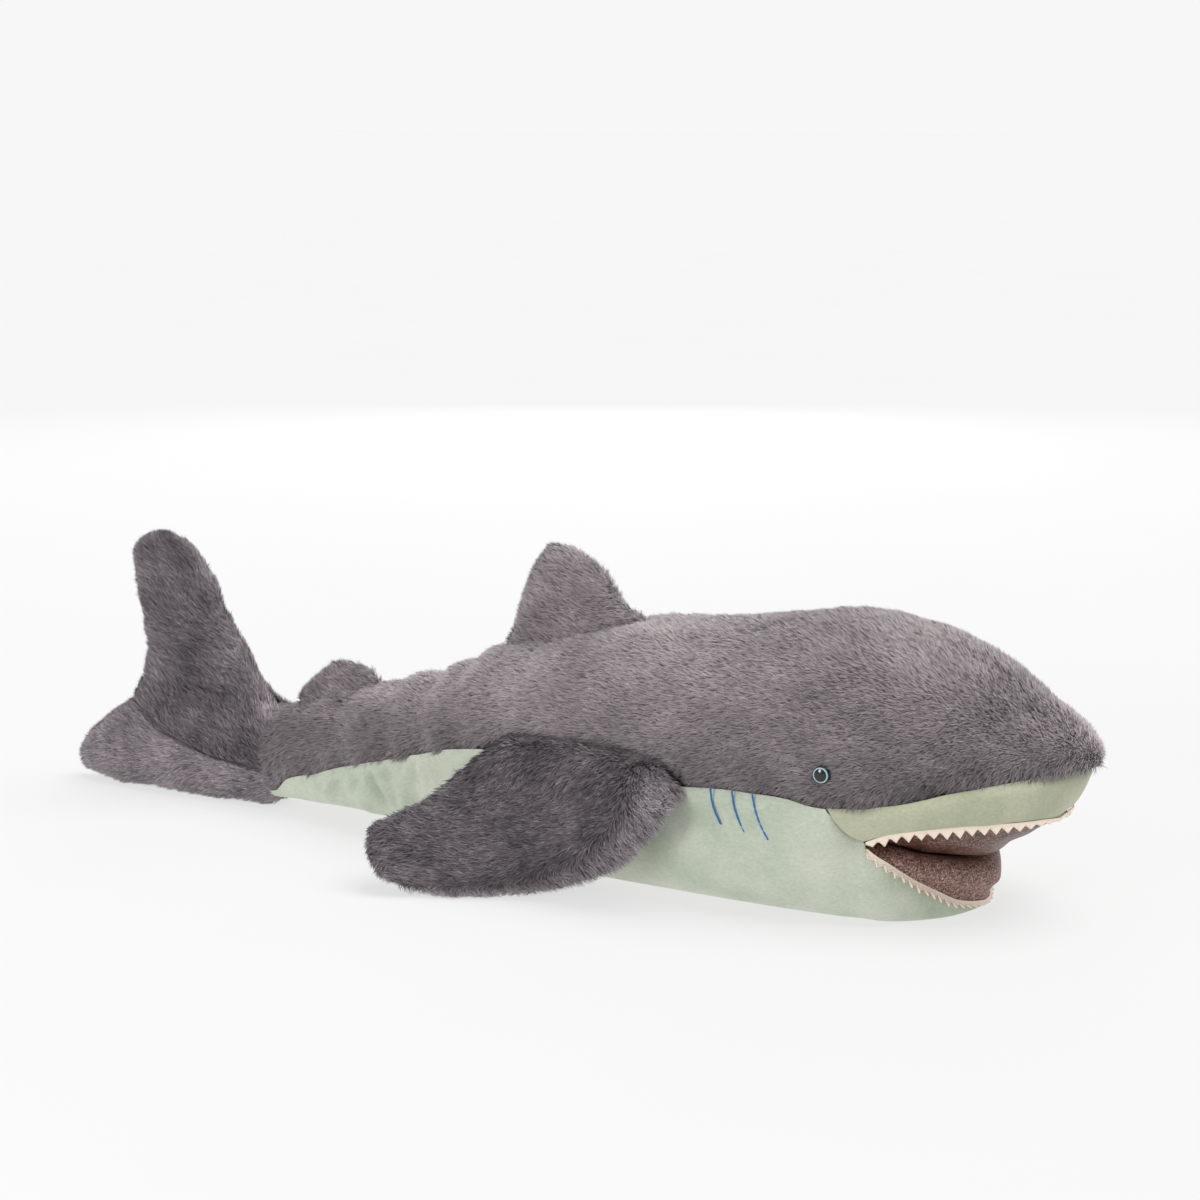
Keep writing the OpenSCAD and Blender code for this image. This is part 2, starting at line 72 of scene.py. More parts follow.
# here the last three are the lip's half width and height, and the fur seam
HEAD = [[258, 174, 88, 76, 82, 54, 75], [268, 172, 85.5, 78, 80.5, 58.5, 77], [279, 169, 82.5, 80, 78, 62, 79],
        [292, 164.5, 77.5, 82, 73, 64, 82], [305, 158.5, 70.5, 84, 66, 65, 85.5],
        [318, 151.5, 62.5, 86, 57.5, 66, 88], [329, 144.5, 54, 87, 48, 66, 90], [346, 131, 40, 90, 31, 66, 92.5],
        [356, 122.5, 31.5, 92, 14, 64.5, 93.5],
        [362, 117, 25, 93, 0.4, 68, 94], [368, 111, 17, 94, 0.05, 80, 94.5], [373, 104, 9, 95, 0.05, 89, 95],
        [375, 98.5, 3.5, 95, 0.05, 92, 95]]
# x, lip half width, lip height, half width of the flat, underside
JAW = [[258.8, 82, 50.6, 51, 0], [264, 79.5, 45.8, 50, 0], [271, 74.5, 40, 47, 0], [281, 61, 28.5, 41, 0],
       [290.5, 43, 17.2, 34, 0], [298, 28.5, 9, 24, 0.3], [303.5, 14, 5, 12, 0.8], [306.5, 4, 3.4, 3.4, 1.4]]
# along the root and out from it at the front edge, the same at the rear edge, fullness
PECTORAL = [[156, -8, 8, -8, .2], [161, -5, 3, -5, .46], [163, 0, 0, 0, .65], [159, 13, -6, 10, .84],
            [146, 29, -14, 22, .95], [124, 46, -23, 33, 1], [100, 57.5, -31, 44, .93], [76, 65.5, -37, 54, .8],
            [52, 71, -34, 64, .62], [24, 78, -29, 74, .42], [-2, 82.5, -20, 81.5, .2]]
# height, rear and front along the root, fullness
DORSAL = [[2.4, 6, 104, .25], [4.6, 4, 105, .52], [10, 9, 99, .76], [20, 17, 93, .95], [30, 24.5, 88.5, 1],
          [40, 30, 82, .9], [47, 35, 76, .76], [52, 41.5, 69, .54], [54.6, 48, 62, .3]]
REAR_DORSAL = [[1.3, 8, 73, .27], [2.7, 7, 74, .62], [5.5, 10, 73, .85], [9, 15.5, 71.5, 1], [12.5, 23, 69, .94],
               [15.6, 30.5, 65.5, .8], [18.4, 38, 60.5, .58]]
# front x and z, rear x and z, half width at the front, half thickness, how late it climbs
CAUDAL = [[-208, 0, -350, 0, 8, 12, 1], [-200, 6, -371, 6, 12, 17, 1], [-198, 15, -375, 18, 17, 20, 1],
          [-198, 21, -367, 33, 23, 21, 1.5], [-198, 24, -349, 48, 24.5, 21, 2],
          [-198, 27, -327, 63, 25, 21, 2.2], [-198, 44, -321, 76, 25, 19.5, 1.5],
          [-198, 59, -316, 90, 20.5, 18, 1.2], [-204, 73, -314, 104, 5, 16.5, 1], [-214, 86, -315, 118, 0, 15.5, 1],
          [-226, 104, -318, 134, 0, 15, 1], [-240, 130, -322, 152, 0, 14, 1],
          [-252, 153, -322, 166, 0, 12, 1], [-262, 169, -317, 175, 0, 9.5, 1], [-273, 179, -306, 181, 0, 6, 1],
          [-284, 183, -297, 183.5, 0, 3, 1]]
CAUDAL_SEAM = 5  # the row of CAUDAL where the lobes meet
TAIL_END, HEAD_STARTS, NOSE = -197, 258, 375  # x of the first station, of the head's first and of its last
CORNER = 258.8  # x of the corner of the mouth
EYE_AT = np.array([234, -86.8, 94.0])


# ---- numbers
def smooth(x, xp, yp):
    """Monotone cubic through the points; yp may have several columns."""
    xp, yp = np.asarray(xp, float), np.asarray(yp, float)
    one = yp.ndim == 1
    if one:
        yp = yp[:, None]
    h = np.diff(xp)[:, None]
    d = np.diff(yp, axis=0) / h
    m = np.zeros_like(yp)
    both = d[:-1] * d[1:] > 0
    w1, w2 = 2 * h[1:] + h[:-1], h[1:] + 2 * h[:-1]
    with np.errstate(divide="ignore", invalid="ignore"):
        m[1:-1] = np.where(both, (w1 + w2) / (w1 / d[:-1] + w2 / d[1:]), 0)
    m[0], m[-1] = d[0], d[-1]
    x = np.atleast_1d(np.asarray(x, float))
    i = np.clip(np.searchsorted(xp, x) - 1, 0, len(xp) - 2)
    t = np.clip((x - xp[i]) / h[i, 0], 0, 1)[:, None]
    a = (1 + 2 * t) * (1 - t) ** 2 * yp[i] + t * (1 - t) ** 2 * h[i] * m[i]
    b = t * t * (3 - 2 * t) * yp[i + 1] + t * t * (t - 1) * h[i] * m[i + 1]
    out = a + b
    return out[:, 0] if one else out


def step(x, a, b):
    t = np.clip((np.asarray(x, float) - a) / (b - a), 0, 1)
    return t * t * (3 - 2 * t)


def bump(x, at, wide):
    return np.exp(-(((np.asarray(x, float) - at) / wide) ** 2))


def wave(p, size, seed, stretch=(1, 1, 1)):
    """Smooth lumps of about this size, between -1 and 1, from a few sine waves in seeded directions."""
    r, k = np.random.default_rng(seed), 7
    q = np.asarray(p, float) / np.array(stretch, float)
    out = np.zeros(q.shape[:-1])
    for _ in range(k):
        d = r.normal(size=3)
        d /= np.linalg.norm(d)
        out += np.sin((q @ d) * 2 * np.pi / (size * r.uniform(0.75, 1.6)) + r.uniform(0, 2 * np.pi))
    return np.clip(out / (0.95 * math.sqrt(k)), -1.6, 1.6)


def unit(v):
    return v / np.maximum(np.linalg.norm(v, axis=-1, keepdims=True), 1e-9)


def norm(v):
    return np.linalg.norm(v, axis=-1)


def distance_along(line):
    return np.concatenate([[0], np.cumsum(norm(np.diff(line, axis=0)))])


def resample(line, n):
    d = distance_along(line)
    s = np.linspace(0, 1, n) * d[-1]
    return np.stack([np.interp(s, d, line[:, c]) for c in range(line.shape[1])], -1)


def normals(P, turn=1):
    du = np.gradient(P, axis=0)
    dv = np.gradient(P, axis=1)
    n = unit(np.cross(du, dv)) * turn
    for _ in range(2):
        pad = np.pad(n, ((1, 1), (1, 1), (0, 0)), mode="edge")
        n = unit(n * 2 + pad[:-2, 1:-1] + pad[2:, 1:-1] + pad[1:-1, :-2] + pad[1:-1, 2:])
    return n


# ---- body sections
def side(row, n=181):
    """Half section of a station from the top to the middle of its underside, as y, z with y positive."""
    a = np.radians(np.linspace(90, -90, n))
    top, w, zw, wb, zb = row[1:6]
    s, c = np.sin(a), np.clip(np.cos(a), 0, 1)
    up = a >= 0
    y = np.where(up, w * c ** (2 / 2.2), wb + (w - wb) * c ** (2 / 2.4))
    z = np.where(up, zw + (top - zw) * np.abs(s) ** (2 / 2.2), zw - (zw - zb) * np.abs(s) ** (2 / 2.4))
    return np.stack([y, z], -1)


def jaw_side(row, n=121):
    a = np.radians(np.linspace(0, 90, n))
    y = row[3] + (row[1] - row[3]) * np.cos(a) ** 0.75
    z = row[2] - (row[2] - row[4]) * np.sin(a) ** 0.85
    return np.stack([y, z], -1)


BACK = np.array(TAIL + TORSO)
FRONT = np.array(HEAD)
LOWER = np.array(JAW)
FUR_SEAM = np.array([[-206, 10.5], [-197, 12.5], [-190, 18], [-182, 25], [-168, 30]]
                    + [[r[0], r[6]] for r in TAIL[2:] + TORSO + HEAD[1:]], float)


def station(x):
    return smooth(x, BACK[:, 0], BACK)[0] if x < HEAD_STARTS else smooth(x, FRONT[:, 0], FRONT)[0]


def seam_height(x):
    return smooth(x, FUR_SEAM[:, 0], FUR_SEAM[:, 1])[0]


def placed(line, x):
    """A half section, y and z with y positive, as points of the right side at x."""
    return np.stack([np.full(len(line), x), -line[:, 0], line[:, 1]], -1)


def part(line, hi, lo):
    """The stretch of a half section between two heights."""
    z = line[:, 1]
    k = np.nonzero((z <= hi) & (z >= lo))[0]
    pts = [line[k]] if len(k) else []
    i = int(np.argmax(z <= hi))
    if i > 0 and z[i - 1] > hi:
        t = (z[i - 1] - hi) / (z[i - 1] - z[i])
        pts.insert(0, (line[i - 1] + (line[i] - line[i - 1]) * t)[None])
    below = np.nonzero(z < lo)[0]
    if len(below):
        j = below[0]
        t = (z[j - 1] - lo) / (z[j - 1] - z[j])
        pts.append((line[j - 1] + (line[j] - line[j - 1]) * t)[None])
    return np.concatenate(pts)


# the seam between the lip and the belly, from under the eye to the corner of the mouth
LIP_SEAM = np.array([[238, 74], [243, 67.5], [248, 61.5], [253, 57], [CORNER, 53.5]], float)


# ---- meshes
def build(name, verts, polys, attribute=None, uv=None, custom=None):
    """polys is a list of arrays of vertex numbers, one row per face."""
    me = bpy.data.meshes.new(name)
    loops = np.concatenate([p.ravel() for p in polys]).astype(np.int32)
    sizes = np.concatenate([np.full(len(p), p.shape[1]) for p in polys])
    starts = np.concatenate([[0], np.cumsum(sizes)[:-1]]).astype(np.int32)
    me.vertices.add(len(verts))
    me.vertices.foreach_set("co", (np.asarray(verts) * MM).astype(np.float32).ravel())
    me.loops.add(len(loops))
    me.loops.foreach_set("vertex_index", loops)
    me.polygons.add(len(sizes))
    me.polygons.foreach_set("loop_start", starts)
    me.update(calc_edges=True)
    me.polygons.foreach_set("use_smooth", np.full(len(sizes), True))
    if attribute is not None:
        at = me.attributes.new("coat", "FLOAT_COLOR", "POINT")
        rgba = np.ones((len(verts), 4), np.float32)
        rgba[:, :3] = attribute
        at.data.foreach_set("color", rgba.ravel())
    if uv is not None:
        layer = me.uv_layers.new(name="OFBake")
        layer.data.foreach_set("uv", np.asarray(uv, np.float32)[loops].ravel())
    if custom is not None:
        me.normals_split_custom_set_from_vertices(custom.astype(np.float32))
    me.update()
    ob = bpy.data.objects.new(name, me)
    scene.collection.objects.link(ob)
    return ob


def cells(nu, nv, turn=1):
    i = np.arange(nu * nv).reshape(nu, nv)
    q = np.stack([i[:-1, :-1], i[1:, :-1], i[1:, 1:], i[:-1, 1:]], -1).reshape(-1, 4)
    return q if turn > 0 else q[:, ::-1]


def grid_uv(nu, nv, box=(0, 0, 1, 1)):
    u, v = np.meshgrid(np.linspace(box[0], box[2], nu), np.linspace(box[1], box[3], nv), indexing="ij")
    return np.stack([u, v], -1).reshape(-1, 2)


def furred(name, P, turn, nap, tone, length, lean, density, keep=None, *, seed, inset, width=0.5, N=None, rough=0.15):
    """A backing skin with a coat of thin tapered strands laid along nap, a field of directions on the grid.

    lean is in degrees above the skin, density in strands per square mm, inset the skin's depth under P, keep the
    share of strands that stay, and rough the scatter of their tone.
    """
    r = np.random.default_rng(seed)
    nu, nv = P.shape[:2]
    N = normals(P, turn) if N is None else N
    length, lean, inset, tone = (np.broadcast_to(np.asarray(a, float), (nu, nv))
                                 for a in (length, lean, inset, tone))
    keep = np.ones((nu, nv)) if keep is None else keep
    # on the middle line the normals lie in the middle plane
    N = unit(N * np.stack([np.ones((nu, nv)), step(np.abs(P[..., 1]), 0, 2.2), np.ones((nu, nv))], -1))
    skin = P - N * inset[..., None]
    if P[..., 1].max() < 0.1:
        skin[..., 1] = np.minimum(skin[..., 1], -0.01)
    elif P[..., 1].min() > -0.1:
        skin[..., 1] = np.maximum(skin[..., 1], 0.01)
    skin[..., 2] = np.maximum(skin[..., 2], 0.3)
    # cells by area, filled evenly
    a, b = P[1:, :-1] - P[:-1, :-1], P[:-1, 1:] - P[:-1, :-1]
    c, d = P[1:, :-1] - P[1:, 1:], P[:-1, 1:] - P[1:, 1:]
    area = 0.5 * (norm(np.cross(a, b)) + norm(np.cross(c, d)))
    area = (area * 0.25 * (keep[1:, 1:] + keep[:-1, :-1] + keep[1:, :-1] + keep[:-1, 1:])).ravel()
    n = int(area.sum() * density * (1))
    total = np.cumsum(area)
    pick = np.searchsorted(total, (np.arange(n) + r.random(n)) / n * total[-1]).clip(0, len(area) - 1)
    ci, cj = pick // (nv - 1), pick % (nv - 1)
    fu, fv = r.random(n), r.random(n)

    def at(A):
        w = [(1 - fu) * (1 - fv), fu * (1 - fv), (1 - fu) * fv, fu * fv]
        v = [A[ci, cj], A[ci + 1, cj], A[ci, cj + 1], A[ci + 1, cj + 1]]
        return sum(x * (y[:, None] if A.ndim == 3 else y) for x, y in zip(v, w))

    p, nn, t = at(skin), unit(at(N)), at(nap)
    t = unit(t - nn * (t * nn).sum(-1, keepdims=True))
    bb = np.cross(nn, t)
    yaw = np.radians(10 * wave(p, 46, seed + 11) + 11 * wave(p, 6, seed + 12) + r.normal(0, 15, n))
    tilt = np.radians(at(lean) + 7 * wave(p, 5, seed + 13) + r.normal(0, 6, n)).clip(0.12, 1.45)
    L = at(length) * (1 + 0.06 * wave(p, 12, seed + 14) + r.normal(0, 0.09, n)).clip(0.45, 1.4)
    flat_dir = np.cos(yaw)[:, None] * t + np.sin(yaw)[:, None] * bb
    d0 = np.cos(tilt)[:, None] * flat_dir + np.sin(tilt)[:, None] * nn
    droop = np.radians(20 + r.normal(0, 6, n))
    d1 = np.cos(tilt - droop)[:, None] * flat_dir + np.sin(tilt - droop)[:, None] * nn
    across = unit(np.cross(d0, nn) + bb * r.normal(0, 0.25, n)[:, None] + nn * r.normal(0, 0.35, n)[:, None])
    w = width * r.uniform(0.8, 1.25, n)[:, None] * 0.5
    mid = p + d0 * (L * 0.52)[:, None]
    tip = mid + d1 * (L * 0.5)[:, None]
    V = np.stack([p - across * w, p + across * w, mid + across * w * 0.9, mid - across * w * 0.9, tip], 1)
    V = V.reshape(-1, 3)
    V[:, 2] = np.maximum(V[:, 2], 0.12 + 0.25 * r.random(len(V)))
    base = nu * nv + np.arange(n) * 5
    quads = np.stack([base, base + 1, base + 2, base + 3], -1)
    tris = np.stack([base + 3, base + 2, base + 4], -1)
    shade = at(tone) + 0.065 * wave(p, 3.8, seed + 15, stretch=(1.7, 1, 1)) + r.normal(0, rough, n)
    shade = shade.clip(0.02, 0.98)
    along = np.array([0.0, 0.0, 0.6, 0.6, 1.0])
    eps = np.array([-0.004, 0.004, 0.004, -0.004, 0.0])
    st = (shade[:, None] + eps).ravel()
    sa = np.tile(along, n)
    # in the coat colour, red is the tone and green the place along the strand
    gtone = (tone + 0.08 * wave(skin, 14, seed + 16)).clip(0.02, 0.98).ravel()
    # the backing skin sits at 0.22 along a strand, so it takes most of the painted root shade and the gaps between
    # strands look dark
    coat = np.concatenate([np.stack([gtone, np.full(nu * nv, 0.22), np.zeros(nu * nv)], -1),
                           np.stack([st, sa, np.zeros(5 * n)], -1)])
    uv = np.concatenate([grid_uv(nu, nv, (0.01, 0.01, 0.47, 0.99)),
                         np.stack([0.5 + 0.49 * st, 0.02 + 0.96 * sa], -1)])
    sn = unit(nn + across * r.normal(0, 0.22, n)[:, None] + t * r.normal(0.05, 0.18, n)[:, None])
    custom = np.concatenate([N.reshape(-1, 3), np.repeat(sn, 5, axis=0)])
    verts = np.concatenate([skin.reshape(-1, 3), V])
    return build(name, verts, [cells(nu, nv, turn), quads, tris], coat, uv, custom)


# ---- materials
def srgb(r, g, b):
    return tuple(c / 12.92 if c <= 0.04045 else ((c + 0.055) / 1.055) ** 2.4
                 for c in (r / 255, g / 255, b / 255)) + (1,)


def put(node, **values):
    """Sets a node's sockets; an underscore stands for the space in a socket's name."""
    for key, value in values.items():
        node.inputs[key.replace("_", " ")].default_value = value


def material(name, **values):
    m = bpy.data.materials.new(name)
    m.use_nodes = True
    b = m.node_tree.nodes["Principled BSDF"]
    put(b, **values)
    return m, m.node_tree, b


def ramp(nt, source, *stops):
    """The colour that a value stands for."""
    n = nt.nodes.new("ShaderNodeValToRGB")
    while len(n.color_ramp.elements) < len(stops):
        n.color_ramp.elements.new(0.5)
    for e, (at, col) in zip(n.color_ramp.elements, stops):
        e.position, e.color = at, col
    nt.links.new(source, n.inputs["Fac"])
    return n.outputs["Color"]


def noise(nt, scale, detail, rough, stretch=None):
    n = nt.nodes.new("ShaderNodeTexNoise")
    put(n, Scale=scale, Detail=detail, Roughness=rough)
    coords = nt.nodes.new("ShaderNodeTexCoord").outputs["Object"]
    if stretch:
        m = nt.nodes.new("ShaderNodeMapping")
        put(m, Scale=stretch)
        nt.links.new(coords, m.inputs["Vector"])
        coords = m.outputs["Vector"]
    nt.links.new(coords, n.inputs["Vector"])
    return n.outputs["Fac"]


def mix(nt, fac, a, b, kind="MIX"):
    n = nt.nodes.new("ShaderNodeMix")
    n.data_type = "RGBA"
    n.blend_type = kind
    for sock, v in ((n.inputs[0], fac), (n.inputs[6], a), (n.inputs[7], b)):
        if isinstance(v, (int, float, tuple)):
            sock.default_value = v
        else:
            nt.links.new(v, sock)
    return n.outputs[2]


def relief(nt, b, height, distance, strength):
    n = nt.nodes.new("ShaderNodeBump")
    put(n, Distance=distance, Strength=strength)
    nt.links.new(height, n.inputs["Height"])
    nt.links.new(n.outputs["Normal"], b.inputs["Normal"])


def split_colour(nt, colour):
    n = nt.nodes.new("ShaderNodeSeparateColor")
    nt.links.new(colour, n.inputs["Color"])
    return n.outputs


def coat(nt):
    n = nt.nodes.new("ShaderNodeAttribute")
    n.attribute_name = "coat"
    return n.outputs["Color"]


def grey(v):
    return (v, v, v, 1)


def fur_material(name, dark, middle, light):
    """Strand colour from the coat's tone, with painted shade darkening it towards the root."""
    m, nt, b = material(name, Roughness=0.82, Specular_IOR_Level=0.18, Sheen_Weight=0.12, Sheen_Roughness=0.45)
    strand_tone, along, _ = split_colour(nt, coat(nt))
    tips = ramp(nt, strand_tone, (0.0, dark), (0.5, middle), (1.0, light))
    # painted shade: towards the root the colour is multiplied by grey, for the shade deep in the pile
    shaded_roots = mix(nt, 1.0, tips, (0.42, 0.41, 0.43, 1), "MULTIPLY")
    up = ramp(nt, along, (0.0, grey(0)), (0.62, grey(0.8)), (1.0, grey(1)))
    nt.links.new(mix(nt, up, shaded_roots, tips), b.inputs["Base Color"])
    return m


def velour_material(name, dark, middle, light):
    m, nt, b = material(name, Roughness=0.88, Specular_IOR_Level=0.2, Sheen_Weight=0.35, Sheen_Roughness=0.4)
    patches = ramp(nt, noise(nt, 26, 3, 0.6), (0.3, dark), (0.55, middle), (0.8, light))
    nap = noise(nt, 700, 4, 0.7, stretch=(0.55, 1, 1))
    fine = ramp(nt, nap, (0.3, (0.86, 0.87, 0.86, 1)), (0.7, (1.06, 1.05, 1.06, 1)))
    nt.links.new(mix(nt, 1.0, patches, fine, "MULTIPLY"), b.inputs["Base Color"])
    relief(nt, b, nap, 0.0004, 0.6)
    return m


def glitter_material(name, dark, middle, light):
    m, nt, b = material(name, Roughness=0.42, Specular_IOR_Level=0.5)
    co = nt.nodes.new("ShaderNodeTexCoord").outputs["Object"]
    v = nt.nodes.new("ShaderNodeTexVoronoi")
    put(v, Scale=1150)
    nt.links.new(co, v.inputs["Vector"])
    which, brown, height = split_colour(nt, v.outputs["Color"])
    # painted glints: light specks mixed into the base colour stand for the glitter's sparkle; the flakes are real,
    # their glints are painted
    glint_cells = ramp(nt, which, (0.80, grey(0)), (0.92, grey(1)))
    grain = ramp(nt, brown, (0.1, dark), (0.6, middle), (0.95, light))
    near = ramp(nt, v.outputs["Distance"], (0.0, grey(1)), (0.55, grey(0)))
    glint_dots = mix(nt, 1.0, glint_cells, near, "MULTIPLY")
    nt.links.new(mix(nt, glint_dots, grain, srgb(255, 232, 214)), b.inputs["Base Color"])
    relief(nt, b, height, 0.0005, 0.7)
    return m


def grain_material(name, grain, stops, depth, **values):
    """Small changes of colour and a fine relief from one noise."""
    m, nt, b = material(name, **values)
    f = noise(nt, *grain)
    nt.links.new(ramp(nt, f, *stops), b.inputs["Base Color"])
    if depth:
        relief(nt, b, f, *depth)
    return m


def eye_material():
    m, nt, b = material("eye_black_gloss", Roughness=0.08, Coat_Weight=0.35, Coat_Roughness=0.02, IOR=1.5)
    rings = coat(nt)
    dust = ramp(nt, noise(nt, 1500, 2, 0.5), (0.3, grey(0.92)), (0.7, grey(1)))
    nt.links.new(mix(nt, 1.0, rings, dust, "MULTIPLY"), b.inputs["Base Color"])
    return m


FUR = fur_material("fur_grey_pile", srgb(98, 92, 97), srgb(160, 151, 154), srgb(212, 201, 203))
DARK = fur_material("fur_dark_pile", srgb(80, 74, 80), srgb(142, 133, 138), srgb(208, 198, 202))
VELOUR = velour_material("velour_green_nap", srgb(180, 191, 171), srgb(199, 206, 189), srgb(210, 214, 199))
LIP = velour_material("velour_lip_nap", srgb(168, 174, 147), srgb(187, 189, 164), srgb(198, 198, 175))
GLITTER = glitter_material("glitter_brown_lining", srgb(84, 56, 49), srgb(134, 98, 88), srgb(182, 142, 128))
# painted shade: the palate takes the lining's glitter in darker colours, for the shade inside the mouth
PALATE_SHADED = glitter_material("glitter_brown_palate_shaded", srgb(54, 30, 25), srgb(90, 57, 48), srgb(138, 94, 82))
FELT = grain_material("felt_cream_wool", (900, 5, 0.75), [(0.3, srgb(250, 226, 204)), (0.6, srgb(255, 240, 224)),
                      (0.8, srgb(255, 250, 240))], (0.0005, 0.8), Roughness=0.95, Sheen_Weight=0.25)
THREAD = grain_material("thread_blue_twist", (2600, 3, 0.6), [(0.3, srgb(10, 78, 158)), (0.7, srgb(30, 128, 205))],
                        (0.0002, 0.6), Roughness=0.45, Sheen_Weight=0.2)
EYE = eye_material()
WASHER = grain_material("washer_white_plastic", (420, 3, 0.5),
                        [(0.3, srgb(226, 226, 220)), (0.7, srgb(240, 240, 236))], (0.0001, 0.4), Roughness=0.4)


def dress(ob, mat):
    ob.data.materials.clear()
    ob.data.materials.append(mat)
    return ob


def flip(P):
    """The left-hand copy of something built on the right."""
    Q = np.array(P, float)
    Q[..., 1] *= -1
    return Q


SIDES = (("right", 1, lambda a: a), ("left", -1, flip))


# ---- where the pectoral fins are sewn on
ROOT = np.array([[148, -95, 76], [142, -94, 82], [132, -93, 90], [118, -92, 92.5], [90, -90, 95], [60, -86, 94.5],
                 [30, -82, 93], [14, -78, 89], [-5, -72, 77], [-12, -70, 66]], float)
root_line = resample(ROOT, 200)


def to_root(P):
    """How far points of the right side are from the line where the fin is sewn on, and whether it covers them."""
    q = np.stack([P[..., 0], P[..., 2]], -1)
    r = np.stack([root_line[:, 0], root_line[:, 2]], -1)
    d = norm(q[..., None, :] - r).min(-1)
    x = root_line[::-1, 0]
    top = np.interp(q[..., 0], x, root_line[::-1, 2], left=-1, right=-1)
    return d, (q[..., 1] < top)


# ---- the fur of the back and the tail
def body_grid(nv=56):
    xs = np.concatenate([np.linspace(-202, 330, 178), 330 + 45 * np.sin(np.linspace(0, np.pi / 2, 26))[1:]])
    rows = []
    for x in xs:
        s = station(min(max(x, TAIL_END), NOSE))
        rows.append(placed(resample(part(side(s), 1e9, seam_height(x)), nv), x))
    P = np.array(rows)
    end = np.array([376.4, 0.0, 95.0])
    P = np.concatenate([P, (P[-1:] * 0.5 + end * 0.5), end + (P[-1:] - P[-1:].mean(1, keepdims=True)) * 0.1])
    return P


# x and how far the top of the back is raised there
BACK_FIT = np.array([[-200, 0], [-110, 0], [-80, -2.2], [-50, -2.2], [-30, 0], [80, -0.5], [95, -2.2],
                     [130, -2.0], [160, -0.5], [200, -1.4], [240, -3.2], [290, -3.6], [320, -1.6], [345, 1.6],
                     [358, 3.6], [368, 2.6], [376, 1]], float)


def body_lumps(P):
    """Soft unevenness of the stuffing, with folds where the body thins into the tail."""
    x, z = P[..., 0], P[..., 2]
    lump = 1.3 * wave(P, 75, 3) + 0.5 * wave(P, 28, 4)
    lean_x = x + 0.35 * (z - 80)
    for at, deep, wide in ((-30, 2.6, 9), (-62, 3.4, 9), (-97, 2.8, 8), (-140, 1.8, 8), (-172, 1.4, 7)):
        lump -= deep * bump(lean_x, at, wide) * (0.5 + 0.5 * wave(P, 60, 5))
        lump += 0.6 * deep * bump(lean_x, at + 16, wide)
    lump *= 1 - step(x, 345, 374)
    fit = smooth(x.ravel(), BACK_FIT[:, 0], BACK_FIT[:, 1]).reshape(x.shape)
    return lump + fit * (1 - step(np.abs(P[..., 1]), 20, 78))


P = body_grid()
N = normals(P, -1)
far, under = to_root(P)
x, z = P[..., 0], P[..., 2]
eye_gap = norm(P - np.array([234, -91, 94.0]))  # from where the eye stands on the fur
lump = body_lumps(P) - 1.8 * bump(far, 0, 2.0) - 0.5 * bump(x, TAIL_END, 4) - 1.0 * bump(eye_gap, 4, 6)
from_seam = norm(P - P[:, -1:])
lump -= 1.2 * bump(from_seam, 0, 5)
P = P + N * lump[..., None]
P[:, 0, 1] = 0
nap, down = unit(-np.gradient(P, axis=0)), unit(np.gradient(P, axis=1))
hang = (0.12 + (0.6 + 0.7 * step(x, 200, 260)) * bump(from_seam, 0, 9) + 0.25 * step(x, 300, 370))[..., None]
nap = unit(nap + down * hang)
# painted shade: the fur is darker low on the side, fully below 70 mm and fading out by 110 mm
tone = (0.56 + 0.07 * wave(P, 62, 21, stretch=(0.7, 1.5, 1.6)) + 0.05 * wave(P, 25, 22)
        - 0.19 * step(-z, -110, -70))
# painted shade: darker in the groove of the pectoral seam, in the hollow round the eye and in the crease at the
# tail's end
tone = (tone - 0.4 * bump(far, 0, 1.4) - 0.12 * bump(eye_gap, 4, 7) - 0.16 * bump(x, -200, 1.6)
        # painted light: the nose, from x 345 to 370, is lighter against the shade on its underside
        + 0.26 * step(x, 345, 370))
# painted light: fur on surfaces that face up is lighter
tone = tone + 0.16 * step(N[..., 2], 0.3, 0.95) - 0.04
# painted shade: a darker band of fur along its lower edge above the mouth, where the fringe hangs over the lip
tone = tone - 0.14 * bump(from_seam, 6, 12) * step(x, 255, 310) * (1 - step(x, 350, 368))
keep = np.where(under & (far > 7) & (x > -8), 0.04, 1.0) * step(eye_gap, 3.8, 4.9) * step(far, 0.3, 1.1)
keep[-2:] = 0.3
inset = 4.1 * (1 - 0.35 * step(x, 362, 375)) + 0.2 * (1 - step(x, -203, -199))
length = (5.7 - 0.6 * step(x, 350, 375) - 2.6 * bump(far, 0, 1.8) - 1.6 * bump(eye_gap, 5, 2.4)
          + 0.9 * bump(from_seam, 0, 7))
lean = 45 - 12 * bump(from_seam, 0, 6) - 10 * bump(far, 0, 3)
NP = normals(P, -1)
NP[-3:] = unit(NP[-3:] * 0.3 + np.array([1.0, 0, 0]))
REAR_PIECE_ENDS = 40  # so that neither piece has too many strands
split = int(np.argmin(np.abs(P[:, 20, 0] - REAR_PIECE_ENDS)))
for name, rows_of in (("fur_rear", slice(0, split + 1)), ("fur_back", slice(split, None))):
    for who, mirror, flp in SIDES:
        ob = furred(name + "_" + who, flp(P[rows_of]), -mirror, flp(nap[rows_of]), tone[rows_of], length[rows_of],
                    lean[rows_of], 1.3, keep[rows_of], seed=100 + mirror, inset=inset[rows_of], rough=0.09,
                    N=flp(NP[rows_of]), width=0.42)
        dress(ob, FUR)
        if name == "fur_rear":
            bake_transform(ob)
            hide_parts("tail_fur_" + who)
        else:
            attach(ob, "body")
            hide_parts("back_fur_" + who)


# ---- velour: belly, chin and upper lip
def border(x):
    if x < 238:
        return seam_height(x)
    if x <= CORNER:
        return smooth(x, LIP_SEAM[:, 0], LIP_SEAM[:, 1])[0]
    return smooth(x, LOWER[:, 0], LOWER[:, 2])[0]


